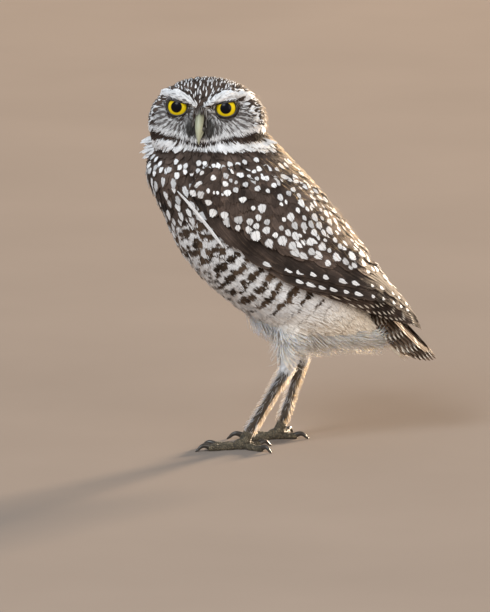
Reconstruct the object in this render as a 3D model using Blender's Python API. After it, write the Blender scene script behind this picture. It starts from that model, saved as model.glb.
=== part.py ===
"""Burrowing owl, life size, standing on both feet with its head turned to its left.

The owl faces -Y, its left side is +X and +Z is up. Lengths below are in millimetres and angles in degrees,
and new_object turns them into metres. The floor is at z = 0.
"""

import math
import random

import bmesh
import bpy
import numpy as np
from mathutils import Matrix, Vector

MM = 0.001
GAP = 0.3
CHANCE = random.Random(7)

# The trunk, as stations from the neck down to the vent. Each row holds the back's point and the belly's
# point, both as (y, z) in the plane of symmetry, and the half width.
TRUNK_STATIONS = (
    ((2.0, 184.0), (-57.0, 178.0), 29.0),
    ((12.0, 173.5), (-66.0, 166.0), 34.0),
    ((21.0, 163.0), (-65.8, 155.0), 36.0),
    ((30.5, 153.5), (-61.5, 146.0), 37.0),
    ((39.5, 142.0), (-56.0, 134.0), 37.5),
    ((47.0, 130.0), (-50.5, 121.0), 37.5),
    ((53.0, 118.0), (-42.5, 107.5), 37.0),
    ((58.5, 107.0), (-30.0, 93.5), 36.0),
    ((62.0, 98.0), (-14.0, 80.0), 34.0),
    ((63.5, 90.0), (1.5, 68.5), 30.0),
    ((65.0, 83.0), (17.0, 60.0), 25.5),
    ((67.0, 76.5), (34.0, 57.0), 20.5),
    ((70.0, 71.0), (52.0, 58.0), 14.5),
    ((74.0, 66.0), (66.0, 56.5), 9.0),
    ((77.5, 61.5), (76.0, 57.5), 3.5),
)
TRUNK_RINGS = 23
TRUNK_SIDES = 24

# The head's frame: its centre, the heading of the face (0 looks along -Y, 90 along +X) and its upward tilt.
HEAD_CENTRE = (0.0, -30.4, 189.0)
HEAD_HEADING = 69.0
HEAD_TILT = 8.0
HEAD_HALF_WIDTH = 34.5
HEAD_FRONT = 28.5
HEAD_BACK = 33.0
HEAD_TOP = 26.8
HEAD_BOTTOM = 36.0
HEAD_FULLNESS = 2.05
HEAD_SIDES = 30
# The head's rings, as angles from straight ahead. They are close together over the face.
HEAD_RING_ANGLES = (*range(8, 96, 7), 100, 112, 125, 140, 158)

# Eyes and bill in the head's frame: (left, forward, up).
EYE_PLACE = (13.6, 18.2, 9.4)
EYE_RADIUS = 7.6
EYE_TURN_OUT = 12.0
LID_RADIUS = 6.3
LID_THICKNESS = 0.95
# The brow's ridge: (left, forward, up) and radius.
BROW = (
    (2.0, 28.2, 9.2, 1.4),
    (6.0, 27.4, 12.2, 2.0),
    (10.5, 25.4, 15.0, 2.4),
    (16.0, 21.6, 16.8, 2.4),
    (21.5, 16.0, 16.6, 1.9),
    (26.0, 10.5, 15.2, 1.1),
)
# Vanes below each cheek: root (forward, up), length and downward slope. They start this far from the middle.
RUFF_FEATHERS = (
    (-4.0, -8.5, 13.0, 0.2),
    (-2.5, -11.5, 13.0, 0.45),
    (-1.0, -14.5, 12.0, 0.75),
    (0.5, -17.0, 10.5, 1.1),
)
RUFF_ASIDE = 25.0
RUFF_HALF_WIDTH = 3.4
# The facial disc: its half width and half height, how far the rim stands out above and below, and how deep
# the bowls round the eyes are.
DISC_HALF_WIDTH = 27.5
DISC_HALF_HEIGHT = 20.0
DISC_RIM = (0.6, 1.3)
DISC_BOWL = 1.8

# The wing: its thickness and the angles round the trunk, from the back's middle, where it starts and ends.
WING_THICKNESS = 2.6
WING_LIFT = 0.6
WING_EDGE_ANGLES = (
    (0.085, 70.0, 112.0),
    (0.145, 50.0, 127.5),
    (0.22, 33.0, 127.0),
    (0.30, 22.0, 124.0),
    (0.38, 15.0, 115.0),
    (0.45, 11.0, 100.0),
    (0.52, 7.0, 84.0),
)
# Where the folded wing leaves the trunk it narrows to its tip: upper edge, middle and lower edge, outer face.
WING_END = (
    ((1.2, 69.5, 102.5), (21.0, 62.0, 94.5), (30.5, 50.5, 87.5)),
    ((1.2, 78.6, 90.5), (15.5, 72.5, 86.0), (23.0, 63.5, 81.0)),
    ((1.2, 86.8, 80.0), (11.0, 81.0, 77.8), (16.5, 74.0, 75.8)),
    ((1.4, 91.6, 71.5), (7.6, 88.6, 71.2), (11.0, 84.8, 70.6)),
    ((2.0, 95.0, 63.8), (4.6, 94.0, 64.2), (6.6, 92.8, 64.6)),
)

# The tail: twelve feathers in a folded, roof-shaped stack.
TAIL_ROOT = (0.0, 60.0, 96.0)
TAIL_TIP = (0.0, 104.5, 47.5)
TAIL_PAIRS = 6
TAIL_HALF_WIDTH = 6.6
TAIL_STEP_ASIDE = 1.35
TAIL_STEP_DOWN = 1.25
VANE_THICKNESS = 0.7
# Where along a wing feather its half width is which share of the full one.
VANE_SHAPE = ((0.0, 0.7), (0.45, 1.0), (0.8, 0.86), (1.0, 0.28))
TAIL_VANE_SHAPE = ((0.0, 0.75), (0.35, 0.95), (0.7, 1.0), (0.92, 0.8), (1.0, 0.35))
VANE_ROLL = 10.0
PRIMARY_ROLL = 6.0
# The primaries' tips as (along, across), their first root and its step, half width, and lift at root and tip.
PRIMARY_TIPS = ((0.94, 0.92), (0.975, 0.74), (1.0, 0.56), (0.97, 0.40), (0.93, 0.28))
PRIMARY_ROOT = ((0.40, 0.88), (0.015, -0.07))
PRIMARY_HALF_WIDTH = 4.2
PRIMARY_LIFTS = (-1.3, -1.0)
PRIMARY_LIFT_STEP = 0.75
# The wing's other tiers, from the secondaries up to the scapulars: how many feathers, the first root as
# (along, across) and its step, the first tip and its step, half width, and lift at root and tip.
WING_TIERS = (
    (6, (0.36, 0.86), (-0.01, -0.12), (0.68, 0.90), (0.05, -0.14), 5.0, (-1.3, 2.2)),
    (6, (0.24, 0.87), (0.014, -0.125), (0.50, 0.92), (0.03, -0.145), 5.8, (-1.5, 2.3)),
    (5, (0.12, 0.82), (0.012, -0.13), (0.335, 0.89), (0.02, -0.15), 5.8, (-1.5, 2.3)),
    (4, (0.22, 0.17), (0.105, -0.01), (0.41, 0.25), (0.11, -0.01), 5.6, (-1.4, 2.8)),
)

# Legs. Each row: hip inside the trunk, heel, ankle above the toes, centre of the sole.
LEGS = {
    "left": ((14.0, 19.0, 80.0), (13.5, 14.0, 47.0), (13.0, -9.5, 8.6), (13.0, -12.8, 0.0)),
    "right": ((-14.0, 21.0, 78.0), (-13.5, 29.5, 50.5), (-13.0, 16.0, 8.6), (-13.0, 12.8, 0.0)),
}
THIGH_RADII = (13.0, 10.0, 6.2, 4.4)
HEEL_RADIUS = 4.0
SHANK_TOP_RADIUS = 3.7
SHANK_RADIUS = 3.0
# Toes: name, heading outward from straight ahead, length to the claw, radius at the root, claw length.
TOES = (
    ("inner", -20.0, 17.0, 2.5, 9.5),
    ("middle", 8.0, 21.0, 2.6, 10.0),
    ("outer", 128.0, 15.5, 2.3, 8.5),
    ("hind", 196.0, 12.0, 2.3, 9.0),
)
# A toe's outline: share of its length, height of its middle and half width, both as shares of its radius.
TOE_OUTLINE = (
    (0.0, 0.80, 1.10),
    (0.24, 0.70, 0.90),
    (0.46, 0.76, 0.96),
    (0.66, 0.66, 0.80),
    (0.84, 0.72, 0.88),
    (1.0, 0.86, 0.66),
)
TOE_SIDES = 7
CLAW_RADIUS = 1.6
CLAW_BEND = math.radians(74.0)
# The sole's pad: places along the foot and up from its centre, and radii.
PAD = ((4.0, 2.0, 2.6), (0.0, 2.0, 3.7), (-4.0, 2.0, 2.8))


def clear_scene():
    for old in list(bpy.data.objects):
        bpy.data.objects.remove(old, do_unlink=True)


def material(name, colour, roughness, metallic=0.0):
    found = bpy.data.materials.get(name)
    if found:
        return found
    made = bpy.data.materials.new(name)
    made.use_nodes = True
    shader = made.node_tree.nodes["Principled BSDF"]
    shader.inputs["Base Color"].default_value = (*colour, 1.0)
    shader.inputs["Roughness"].default_value = roughness
    shader.inputs["Metallic"].default_value = metallic
    return made


FINISHES = {
    "pale_feather": ((0.62, 0.57, 0.48), 0.85),
    "brown_feather": ((0.15, 0.095, 0.06), 0.8),
    "face_feather": ((0.45, 0.42, 0.38), 0.85),
    "eye": ((0.80, 0.66, 0.03), 0.08),
    "bill": ((0.50, 0.52, 0.34), 0.4),
    "toe": ((0.22, 0.19, 0.13), 0.6),
    "claw": ((0.03, 0.025, 0.02), 0.3),
}


def new_object(name, points, faces, finish=None):
    """A mesh object from points in millimetres. Faces are lists of corner numbers, seen anticlockwise."""
    mesh = bpy.data.meshes.new(name)
    mesh.from_pydata([tuple(float(c) * MM for c in p) for p in points], [], faces)
    made = bpy.data.objects.new(name, mesh)
    bpy.context.scene.collection.objects.link(made)
    if finish:
        set_finish(made, finish)
    return made


def set_finish(made, finish):
    made.data.materials.clear()
    made.data.materials.append(material(finish, *FINISHES[finish]))


def outward(made):
    """Turns every face outward and splits the faces into triangles."""
    work = bmesh.new()
    work.from_mesh(made.data)
    bmesh.ops.recalc_face_normals(work, faces=work.faces)
    bmesh.ops.triangulate(work, faces=work.faces)
    if work.calc_volume(signed=True) < 0:
        bmesh.ops.reverse_faces(work, faces=work.faces)
    work.to_mesh(made.data)
    work.free()
    return made


def through_rows(rows, place):
    """A smooth curve through rows of numbers. Place runs from 0 at the first row to 1 at the last."""
    last = len(rows) - 1
    steps = np.clip(np.asarray(place, float), 0.0, 1.0) * last
    before = np.minimum(steps.astype(int), last - 1)
    part = (steps - before)[..., None]
    p0, p1, p2, p3 = (rows[np.clip(before + k, 0, last)] for k in (-1, 0, 1, 2))
    bend = 2 * p0 - 5 * p1 + 4 * p2 - p3
    twist = -p0 + 3 * p1 - 3 * p2 + p3
    return 0.5 * (2 * p1 + (p2 - p0) * part + bend * part**2 + twist * part**3)


TRUNK_ROWS = np.array([(*back, *belly, half) for back, belly, half in TRUNK_STATIONS])


def trunk_point(place, angle, lift=0.0):
    """A point on the trunk: place from 0 at the neck to 1 at the vent, angle from the back's middle."""
    row = through_rows(TRUNK_ROWS, place)
    back, belly, half_width = row[0:2], row[2:4], row[4]
    centre = (back + belly) / 2
    half_depth = np.linalg.norm(back - belly) / 2
    up = (back - belly) / (2 * half_depth)
    turn = math.radians(angle)
    side, rise = math.sin(turn) / half_width, math.cos(turn) / half_depth
    length = math.hypot(side, rise)
    across = half_width * math.sin(turn) + lift * side / length
    along = half_depth * math.cos(turn) + lift * rise / length
    return np.array((across, *(centre + up * along)))


def skin_rings(name, rings, finish=None):
    """A closed body from rings of points, all with the same number, with a flat end at each side."""
    sides = len(rings[0])
    points = [p for ring in rings for p in ring]
    faces = []
    for k in range(len(rings) - 1):
        for j in range(sides):
            a, b = k * sides + j, k * sides + (j + 1) % sides
            faces.append((a, b, b + sides, a + sides))
    faces.append(tuple(range(sides)))
    faces.append(tuple(range(len(points) - sides, len(points))))
    return outward(new_object(name, points, faces, finish))


def tube(name, path, radii, sides=12):
    """A round body along a path, with a radius at each of its points."""
    path = [Vector(p) for p in path]
    rings = []
    for k, centre in enumerate(path):
        ahead = (path[min(k + 1, len(path) - 1)] - path[max(k - 1, 0)]).normalized()
        side = ahead.cross(Vector((0.0, 0.0, 1.0)))
        if side.length < 0.05:
            side = ahead.cross(Vector((0.0, 1.0, 0.0)))
        side.normalize()
        top = side.cross(ahead)
        ring = []
        for j in range(sides):
            turn = 2 * math.pi * j / sides
            ring.append(tuple(centre + (side * math.cos(turn) + top * math.sin(turn)) * radii[k]))
        rings.append(ring)
    return skin_rings(name, rings)


def evaluated_copy(made):
    graph = bpy.context.evaluated_depsgraph_get()
    return bpy.data.meshes.new_from_object(made.evaluated_get(graph))


def boolean(made, others, operation, solver="EXACT"):
    """Joins others to made, or cuts them from it, and removes them."""
    group = bpy.data.collections.new("tools")
    bpy.context.scene.collection.children.link(group)
    for other in others:
        for owner in list(other.users_collection):
            owner.objects.unlink(other)
        group.objects.link(other)
    step = made.modifiers.new("step", "BOOLEAN")
    step.operation = operation
    step.operand_type = "COLLECTION"
    step.collection = group
    step.solver = solver
    bpy.context.view_layer.update()
    mesh = evaluated_copy(made)
    made.modifiers.clear()
    made.data = mesh
    for other in others:
        bpy.data.objects.remove(other, do_unlink=True)
    bpy.data.collections.remove(group)
    return made


def shells(work):
    """The separate closed surfaces of a bmesh, as lists of faces."""
    left, found = set(work.faces), []
    while left:
        seed = left.pop()
        shell, front = [seed], [seed]
        while front:
            for edge in front.pop().edges:
                for face in edge.link_faces:
                    if face in left:
                        left.discard(face)
                        shell.append(face)
                        front.append(face)
        found.append(shell)
    return found


def shell_volume(shell):
    total = 0.0
    for face in shell:
        a = face.verts[0].co
        for b, c in zip(face.verts[1:-1], face.verts[2:]):
            total += a.dot(b.co.cross(c.co)) / 6
    return total


def keep_largest(made):
    """Keeps the body's largest closed surface, as triangles."""
    work = bmesh.new()
    work.from_mesh(made.data)
    bmesh.ops.triangulate(work, faces=work.faces)
    found = sorted(shells(work), key=shell_volume)
    for shell in found[:-1]:
        bmesh.ops.delete(work, geom=shell, context="FACES")
    work.to_mesh(made.data)
    work.free()
    return made


def split_shells(made, names, key):
    """Parts a body that thin cuts have divided, and names the pieces in the order of key."""
    work = bmesh.new()
    work.from_mesh(made.data)
    bmesh.ops.triangulate(work, faces=work.faces)
    found = sorted(shells(work), key=shell_volume)[-len(names):]
    pieces = []
    for shell in found:
        corners = sorted({v.index for face in shell for v in face.verts})
        number = {old: new for new, old in enumerate(corners)}
        work.verts.ensure_lookup_table()
        points = [tuple(work.verts[i].co / MM) for i in corners]
        faces = [tuple(number[v.index] for v in face.verts) for face in shell]
        pieces.append((points, faces))
    work.free()
    pieces.sort(key=lambda piece: key(np.mean(piece[0], axis=0)))
    bpy.data.objects.remove(made, do_unlink=True)
    return [new_object(name, *piece) for name, piece in zip(names, pieces)]


def inflated(made, distance, keep=True):
    """A copy of a body grown along its corners' normals. The body itself is removed if keep is False."""
    work = bmesh.new()
    work.from_mesh(made.data)
    bmesh.ops.remove_doubles(work, verts=work.verts, dist=0.02 * MM)
    work.normal_update()
    moved = [(v, v.co + v.normal * distance * MM * v.calc_shell_factor()) for v in work.verts]
    for vertex, place in moved:
        vertex.co = place
    mesh = bpy.data.meshes.new("cutter")
    work.to_mesh(mesh)
    work.free()
    copy = bpy.data.objects.new("cutter", mesh)
    bpy.context.scene.collection.objects.link(copy)
    if not keep:
        bpy.data.objects.remove(made, do_unlink=True)
    return copy


def copy_of(made):
    copy = bpy.data.objects.new(made.name, made.data.copy())
    bpy.context.scene.collection.objects.link(copy)
    return copy


def slab(centre, direction, reach=70.0, thickness=GAP):
    """A square plate across a direction, used to part a body or to cut it flat."""
    normal = Vector(direction).normalized()
    turn = normal.to_track_quat("Z", "Y").to_matrix()
    points = []
    for z in (-thickness / 2, thickness / 2):
        for x, y in ((-reach, -reach), (reach, -reach), (reach, reach), (-reach, reach)):
            points.append(tuple(Vector(centre) + turn @ Vector((x, y, z))))
    faces = [(0, 3, 2, 1), (4, 5, 6, 7), (0, 1, 5, 4), (1, 2, 6, 5), (2, 3, 7, 6), (3, 0, 4, 7)]
    return outward(new_object("slab", points, faces))


def ball(centre, radius, rings=9, sides=14):
    turns = [2 * math.pi * j / sides for j in range(sides)]
    x, y, z = centre
    rows = []
    for k in range(rings + 1):
        height = z - radius * math.cos(math.pi * k / rings)
        reach = max(radius * math.sin(math.pi * k / rings), 0.02)
        rows.append([(x + reach * math.cos(t), y + reach * math.sin(t), height) for t in turns])
    return skin_rings("ball", rows)


def head_axes():
    """Left, forward and up of the head, as world directions."""
    turn, tilt = math.radians(HEAD_HEADING), math.radians(HEAD_TILT)
    level = Vector((math.sin(turn), -math.cos(turn), 0.0))
    forward = level * math.cos(tilt) + Vector((0.0, 0.0, math.sin(tilt)))
    left = Vector((0.0, 0.0, 1.0)).cross(level)
    return left, forward, forward.cross(left)


def head_to_world(place):
    left, forward, up = head_axes()
    return Vector(HEAD_CENTRE) + left * place[0] + forward * place[1] + up * place[2]


def bump(distance, width):
    return math.exp(-((distance / width) ** 2))


def head_point(polar, turn):
    """A point of the head in its own frame. Polar is the angle from straight ahead, turn the one round it."""
    across, rise = math.sin(polar) * math.sin(turn), math.sin(polar) * math.cos(turn)
    ahead = math.cos(polar)
    deep = HEAD_FRONT if ahead > 0 else HEAD_BACK
    high = HEAD_TOP if rise > 0 else HEAD_BOTTOM
    n = HEAD_FULLNESS
    shares = (across / HEAD_HALF_WIDTH, ahead / deep, rise / high)
    reach = sum(abs(share) ** n for share in shares) ** (-1 / n)
    left, front, up = across * reach, ahead * reach, rise * reach
    if front > 0:
        side = abs(left)
        bowl = bump(math.hypot(side - EYE_PLACE[0] - 1.5, up - EYE_PLACE[2] + 2.5), 8.5)
        ring = math.hypot(side / DISC_HALF_WIDTH, (up + 1.0) / DISC_HALF_HEIGHT)
        rim = bump((ring - 1.0) * DISC_HALF_HEIGHT, 3.0) * DISC_RIM[up < 0]
        inner = bump(max(ring - 0.75, 0.0) * DISC_HALF_HEIGHT, 3.0)
        front += rim - DISC_BOWL * bowl - 0.6 * inner
    return left, front, up


def head_body():
    turns = [2 * math.pi * j / HEAD_SIDES for j in range(HEAD_SIDES)]
    rings = []
    for angle in HEAD_RING_ANGLES:
        rings.append([head_to_world(head_point(math.radians(angle), turn)) for turn in turns])
    return skin_rings("head", rings)


def eye_axis(side):
    turn = math.radians(EYE_TURN_OUT)
    left, forward, up = head_axes()
    return (forward * math.cos(turn) + left * (side * math.sin(turn))).normalized()


def eye_centre(side):
    return head_to_world((side * EYE_PLACE[0], EYE_PLACE[1], EYE_PLACE[2]))


def eye_funnel(side):
    """The bowl in front of an eye, wider toward the front, that is cut from the head."""
    axis, centre = eye_axis(side), eye_centre(side)
    path = [centre + axis * d for d in (1.0, 4.0, 7.0, 12.0)]
    return tube("funnel", path, (5.6, 6.6, 9.4, 17.0), 16)


def brow_ridge(side):
    """The brow that overhangs an eye, and the fuller ridge behind it that fuses it with the head."""
    made = []
    for back, rise, more in ((0.0, 0.0, 0.0), (2.8, 0.9, 0.7)):
        path = [head_to_world((side * x, ahead - back, up + rise)) for x, ahead, up, _ in BROW]
        made.append(tube("brow", path, [row[3] + more for row in BROW], 7))
    return made


def lid_ring(side):
    """The rim of the lids, a ring round the eye that fuses with the head."""
    axis = eye_axis(side)
    depth = math.sqrt(EYE_RADIUS**2 - LID_RADIUS**2)
    centre = eye_centre(side) + axis * depth
    sideways = axis.cross(Vector((0.0, 0.0, 1.0))).normalized()
    upward = sideways.cross(axis)
    rounds, sides = 18, 5
    points = []
    for k in range(rounds):
        turn = 2 * math.pi * k / rounds
        out = sideways * math.cos(turn) + upward * math.sin(turn)
        middle = centre + out * (LID_RADIUS + 0.5)
        for j in range(sides):
            roll = 2 * math.pi * j / sides
            shift = out * (math.cos(roll) * LID_THICKNESS) + axis * (math.sin(roll) * LID_THICKNESS)
            points.append(tuple(middle + shift))
    faces = []
    for k in range(rounds):
        for j in range(sides):
            a, b = k * sides + j, k * sides + (j + 1) % sides
            c, d = ((k + 1) % rounds) * sides + (j + 1) % sides, ((k + 1) % rounds) * sides + j
            faces.append((a, b, c, d))
    return outward(new_object("lids", points, faces))


def bill_part(name, stations, sides=14):
    """One half of the bill, from stations of (forward, up, half width, half height)."""
    left, forward, up = head_axes()
    rings = []
    for k, (ahead, rise, wide, high) in enumerate(stations):
        before, after = stations[max(k - 1, 0)], stations[min(k + 1, len(stations) - 1)]
        run = Vector((after[0] - before[0], after[1] - before[1])).normalized()
        ring = []
        for j in range(sides):
            turn = 2 * math.pi * j / sides
            out = math.sin(turn) * high
            place = (math.cos(turn) * wide, ahead - run.y * out, rise + run.x * out)
            ring.append(tuple(head_to_world(place)))
        rings.append(ring)
    return skin_rings(name, rings, "bill")


UPPER_BILL = (
    (20.0, 6.0, 2.5, 4.2),
    (25.5, 5.2, 2.6, 4.0),
    (29.2, 2.9, 2.5, 3.3),
    (31.2, -0.6, 2.3, 2.7),
    (32.0, -4.2, 1.85, 2.1),
    (31.9, -7.6, 1.25, 1.4),
    (31.3, -10.2, 0.65, 0.7),
    (30.9, -11.6, 0.2, 0.2),
)
LOWER_BILL = (
    (20.0, -2.6, 2.2, 1.6),
    (24.5, -4.0, 2.2, 1.6),
    (27.4, -6.0, 1.7, 1.2),
    (29.0, -8.2, 0.9, 0.7),
    (29.6, -9.4, 0.3, 0.3),
)


def ruff(side):
    """The tuft of feathers that flares below the cheek, as overlapping vanes."""
    made = []
    forward = head_axes()[1]
    for back, rise, length, slope in RUFF_FEATHERS:
        root = head_to_world((side * RUFF_ASIDE, back, rise))
        tip = head_to_world((side * (RUFF_ASIDE + length), back - 3.0, rise - length * slope))
        onward = (tip - root).normalized()
        sideways = onward.cross(forward).normalized()
        normal = sideways.cross(onward)
        stations = []
        for share, wide in VANE_SHAPE:
            stations.append((root.lerp(tip, share), normal, sideways, RUFF_HALF_WIDTH * wide))
        made.append(vane(stations, VANE_THICKNESS))
    return made


def make_head_and_trunk():
    """The head, neck and trunk, made as one body and parted with thin cuts."""
    upper = bill_part("upper_bill", UPPER_BILL)
    nostrils = []
    for side in (-1, 1):
        nostrils.append(ball(head_to_world((side * 3.0, 28.2, 5.2)), 0.75, 6, 8))
    boolean(upper, nostrils, "DIFFERENCE")
    keep_largest(upper)
    lower = bill_part("lower_bill", LOWER_BILL)
    boolean(lower, [inflated(upper, GAP)], "DIFFERENCE")
    keep_largest(lower)
    set_finish(lower, "bill")
    set_finish(upper, "bill")

    rings = []
    for k in range(TRUNK_RINGS):
        place = k / (TRUNK_RINGS - 1)
        rings.append([trunk_point(place, 360.0 * j / TRUNK_SIDES) for j in range(TRUNK_SIDES)])
    head = head_body()
    boolean(head, [eye_funnel(-1), eye_funnel(1)], "DIFFERENCE")
    extras = []
    for side in (-1, 1):
        extras += [lid_ring(side), *brow_ridge(side), *ruff(side)]
    body = skin_rings("trunk", rings)
    boolean(body, [head, *extras], "UNION")
    keep_largest(body)
    around = inflated(body, GAP)
    sockets = [ball(eye_centre(side), EYE_RADIUS + GAP) for side in (-1, 1)]
    boolean(body, sockets, "DIFFERENCE")
    bills = [inflated(bill_part("bill", rows), GAP, keep=False) for rows in (UPPER_BILL, LOWER_BILL)]
    boolean(body, bills, "DIFFERENCE")
    cuts = [slab((0.0, -28.0, 168.5), (0.0, 0.12, 1.0)), slab((0.0, -24.0, 155.0), (0.0, 0.25, 1.0))]
    boolean(body, cuts, "DIFFERENCE")
    torso, neck, head = split_shells(body, ("torso", "neck", "head"), lambda middle: middle[2])
    set_finish(torso, "pale_feather")
    set_finish(neck, "brown_feather")
    set_finish(head, "face_feather")
    for side, name in ((1, "left_eye"), (-1, "right_eye")):
        eye = ball(eye_centre(side), EYE_RADIUS)
        eye.name = name
        set_finish(eye, "eye")
    return torso, around


def wing_rows():
    """The folded wing's outer face as rows from shoulder to tip: upper edge, middle and lower edge."""
    lift = WING_LIFT + WING_THICKNESS
    rows = []
    for place, upper, lower in WING_EDGE_ANGLES:
        angles = (upper, (upper + lower) / 2, lower)
        rows.append([trunk_point(place, a, lift) for a in angles])
    rows += [[np.array(p) for p in row] for row in WING_END]
    return np.array(rows).reshape(len(rows), 9)


WING_ROWS = wing_rows()


def wing_point(along, across, side=1):
    """A point of the wing's outer face: along from shoulder to tip, across from upper to lower edge."""
    upper, middle, lower = through_rows(WING_ROWS, along).reshape(3, 3)
    t = across
    point = upper * (1 - t) * (1 - 2 * t) + middle * 4 * t * (1 - t) + lower * t * (2 * t - 1)
    return Vector((point[0] * side, point[1], point[2]))


def wing_normal(along, across, side=1):
    step = 0.01
    a0, a1 = max(along - step, 0.0), min(along + step, 1.0)
    down = wing_point(along, across + step, side) - wing_point(along, across - step, side)
    rear = wing_point(a1, across, side) - wing_point(a0, across, side)
    normal = rear.cross(down) if side > 0 else down.cross(rear)
    normal.normalize()
    return -normal if normal.x * side < -0.2 else normal


def eased(share):
    share = min(max(share, 0.0), 1.0)
    return share * share * (3 - 2 * share)


def wing_core(side):
    """The closed plate that the wing's feathers grow from. It thins toward its edges."""
    rings = []
    for k in range(11):
        along = 0.01 + 0.83 * k / 10
        body = (0.3 + 0.7 * eased(along / 0.2)) * (1.0 - 0.55 * eased((along - 0.5) / 0.5))
        outer, inner = [], []
        for across in (0.02, 0.10, 0.32, 0.66, 0.89, 0.97):
            edge = min(across, 1.0 - across)
            thick = WING_THICKNESS * body * (0.35 + 0.65 * eased(edge / 0.16))
            point, normal = wing_point(along, across, side), wing_normal(along, across, side)
            depth = (WING_THICKNESS - thick) * (1.0 - 0.5 * eased((along - 0.5) / 0.2))
            outer.append(tuple(point - normal * depth))
            inner.append(tuple(point - normal * (depth + thick)))
        rings.append(outer + inner[::-1])
    return skin_rings("wing", rings)


def vane(stations, thickness):
    """A feather's vane as a thin closed body. A station is (centre, outward normal, side, half width)."""
    top, under = [], []
    for centre, normal, side, half in stations:
        for share in (-1.0, 1.0):
            point = centre + side * (half * share)
            top.append(point)
            under.append(point - normal * thickness)
    count = len(top)
    faces = []
    for a in range(0, count - 2, 2):
        b, c, d = a + 1, a + 3, a + 2
        faces += [(a, b, c), (a, c, d)]
        faces += [(count + a, count + c, count + b), (count + a, count + d, count + c)]
        for low in (a, b):
            faces += [(low, low + 2, count + low + 2), (low, count + low + 2, count + low)]
    for a in (0, count - 2):
        faces += [(a, a + 1, count + a + 1), (a, count + a + 1, count + a)]
    return outward(new_object("vane", [tuple(p) for p in top + under], faces))


def wing_feather(side, root, tip, half, lifts, roll):
    """A vane over the wing's face from root to tip, both as (along, across), with a lift at each."""
    stations = []
    roll += CHANCE.uniform(-1.2, 1.2)
    half *= CHANCE.uniform(0.96, 1.04)
    for share, wide in VANE_SHAPE:
        place = [root[k] + (tip[k] - root[k]) * share for k in (0, 1)]
        ahead = [root[k] + (tip[k] - root[k]) * min(share + 0.04, 1.04) for k in (0, 1)]
        normal = wing_normal(min(place[0], 1.0), place[1], side)
        centre = wing_point(place[0], place[1], side)
        onward = wing_point(ahead[0], ahead[1], side) - wing_point(place[0], place[1], side)
        if place[0] > 0.985:
            back = [root[k] + (tip[k] - root[k]) * 0.9 for k in (0, 1)]
            onward = wing_point(tip[0], tip[1], side) - wing_point(back[0], back[1], side)
        sideways = normal.cross(onward).normalized() * side
        lift = lifts[0] + (lifts[1] - lifts[0]) * share
        turn = Matrix.Rotation(math.radians(roll * side), 3, onward.normalized())
        stations.append((centre + normal * lift, turn @ normal, turn @ sideways, half * wide))
    return vane(stations, VANE_THICKNESS)


def wing_feathers(side):
    """The folded wing's feathers in tiers, from the flight feathers up to the scapulars."""
    made = []
    start, step = PRIMARY_ROOT
    for k, tip in enumerate(PRIMARY_TIPS):
        root = (start[0] + step[0] * k, start[1] + step[1] * k)
        lifts = (PRIMARY_LIFTS[0], PRIMARY_LIFTS[1] + PRIMARY_LIFT_STEP * k)
        made.append(wing_feather(side, root, tip, PRIMARY_HALF_WIDTH, lifts, PRIMARY_ROLL))
    for number, root, root_step, tip, tip_step, half, lifts in WING_TIERS:
        for k in range(number):
            start = (root[0] + root_step[0] * k, root[1] + root_step[1] * k)
            end = (tip[0] + tip_step[0] * k, tip[1] + tip_step[1] * k)
            made.append(wing_feather(side, start, end, half, lifts, VANE_ROLL))
    return made


def make_wing(side, name, clearance):
    """A folded wing, cut back to clear the body, the tail and the other wing."""
    wing = wing_core(side)
    wing.name = name
    boolean(wing, wing_feathers(side), "UNION")
    keep_largest(wing)
    middle = slab((0.0, 40.0, 110.0), (1.0, 0.0, 0.0), 120.0)
    boolean(wing, [middle, *(copy_of(made) for made in clearance)], "DIFFERENCE")
    keep_largest(wing)
    set_finish(wing, "brown_feather")
    return wing


def tail_axes():
    run = (Vector(TAIL_TIP) - Vector(TAIL_ROOT)).normalized()
    above = Vector((1.0, 0.0, 0.0)).cross(run)
    return run, above if above.z > 0 else -above


def make_tail():
    """Twelve feathers, the middle pair on top, which slope down to each side like a roof."""
    run, above = tail_axes()
    length = (Vector(TAIL_TIP) - Vector(TAIL_ROOT)).length
    made = []
    for side in (-1, 1):
        outward_side = Vector((side, 0.0, 0.0))
        aside = outward_side * 3.5 - above * (0.9 + 0.5 * side)
        for k in range(TAIL_PAIRS):
            roll = math.radians(18.0 + 4.5 * k)
            normal = above * math.cos(roll) + outward_side * math.sin(roll)
            sideways = outward_side * math.cos(roll) - above * math.sin(roll)
            reach = length - 0.6 * k - 0.25 * k * k
            stations = []
            for share, wide in TAIL_VANE_SHAPE:
                spread = 0.4 + 0.6 * eased(share / 0.5)
                place = Vector(TAIL_ROOT) + run * (reach * share) + aside * spread
                stations.append((place, normal, sideways, TAIL_HALF_WIDTH * wide))
            made.append(vane(stations, VANE_THICKNESS))
            aside = aside + sideways * TAIL_STEP_ASIDE - normal * TAIL_STEP_DOWN
    path = [Vector(TAIL_ROOT) - above * 3.0 + run * step for step in (-2.0, 6.0, 14.0)]
    tail = tube("tail", path, (5.0, 6.0, 4.5), 12)
    boolean(tail, made, "UNION")
    keep_largest(tail)
    set_finish(tail, "brown_feather")
    return tail


def hull_of(made):
    """The convex body round a shape."""
    work = bmesh.new()
    work.from_mesh(made.data)
    result = bmesh.ops.convex_hull(work, input=work.verts)
    inside = result["geom_interior"] + result["geom_unused"]
    spare = {g for g in inside if isinstance(g, bmesh.types.BMVert)}
    bmesh.ops.delete(work, geom=list(spare), context="VERTS")
    outer = {g for g in result["geom"] if isinstance(g, bmesh.types.BMFace)}
    bmesh.ops.delete(work, geom=[f for f in work.faces if f not in outer], context="FACES_ONLY")
    mesh = bpy.data.meshes.new("hull")
    work.to_mesh(mesh)
    work.free()
    hull = bpy.data.objects.new("hull", mesh)
    bpy.context.scene.collection.objects.link(hull)
    return outward(hull)


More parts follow.
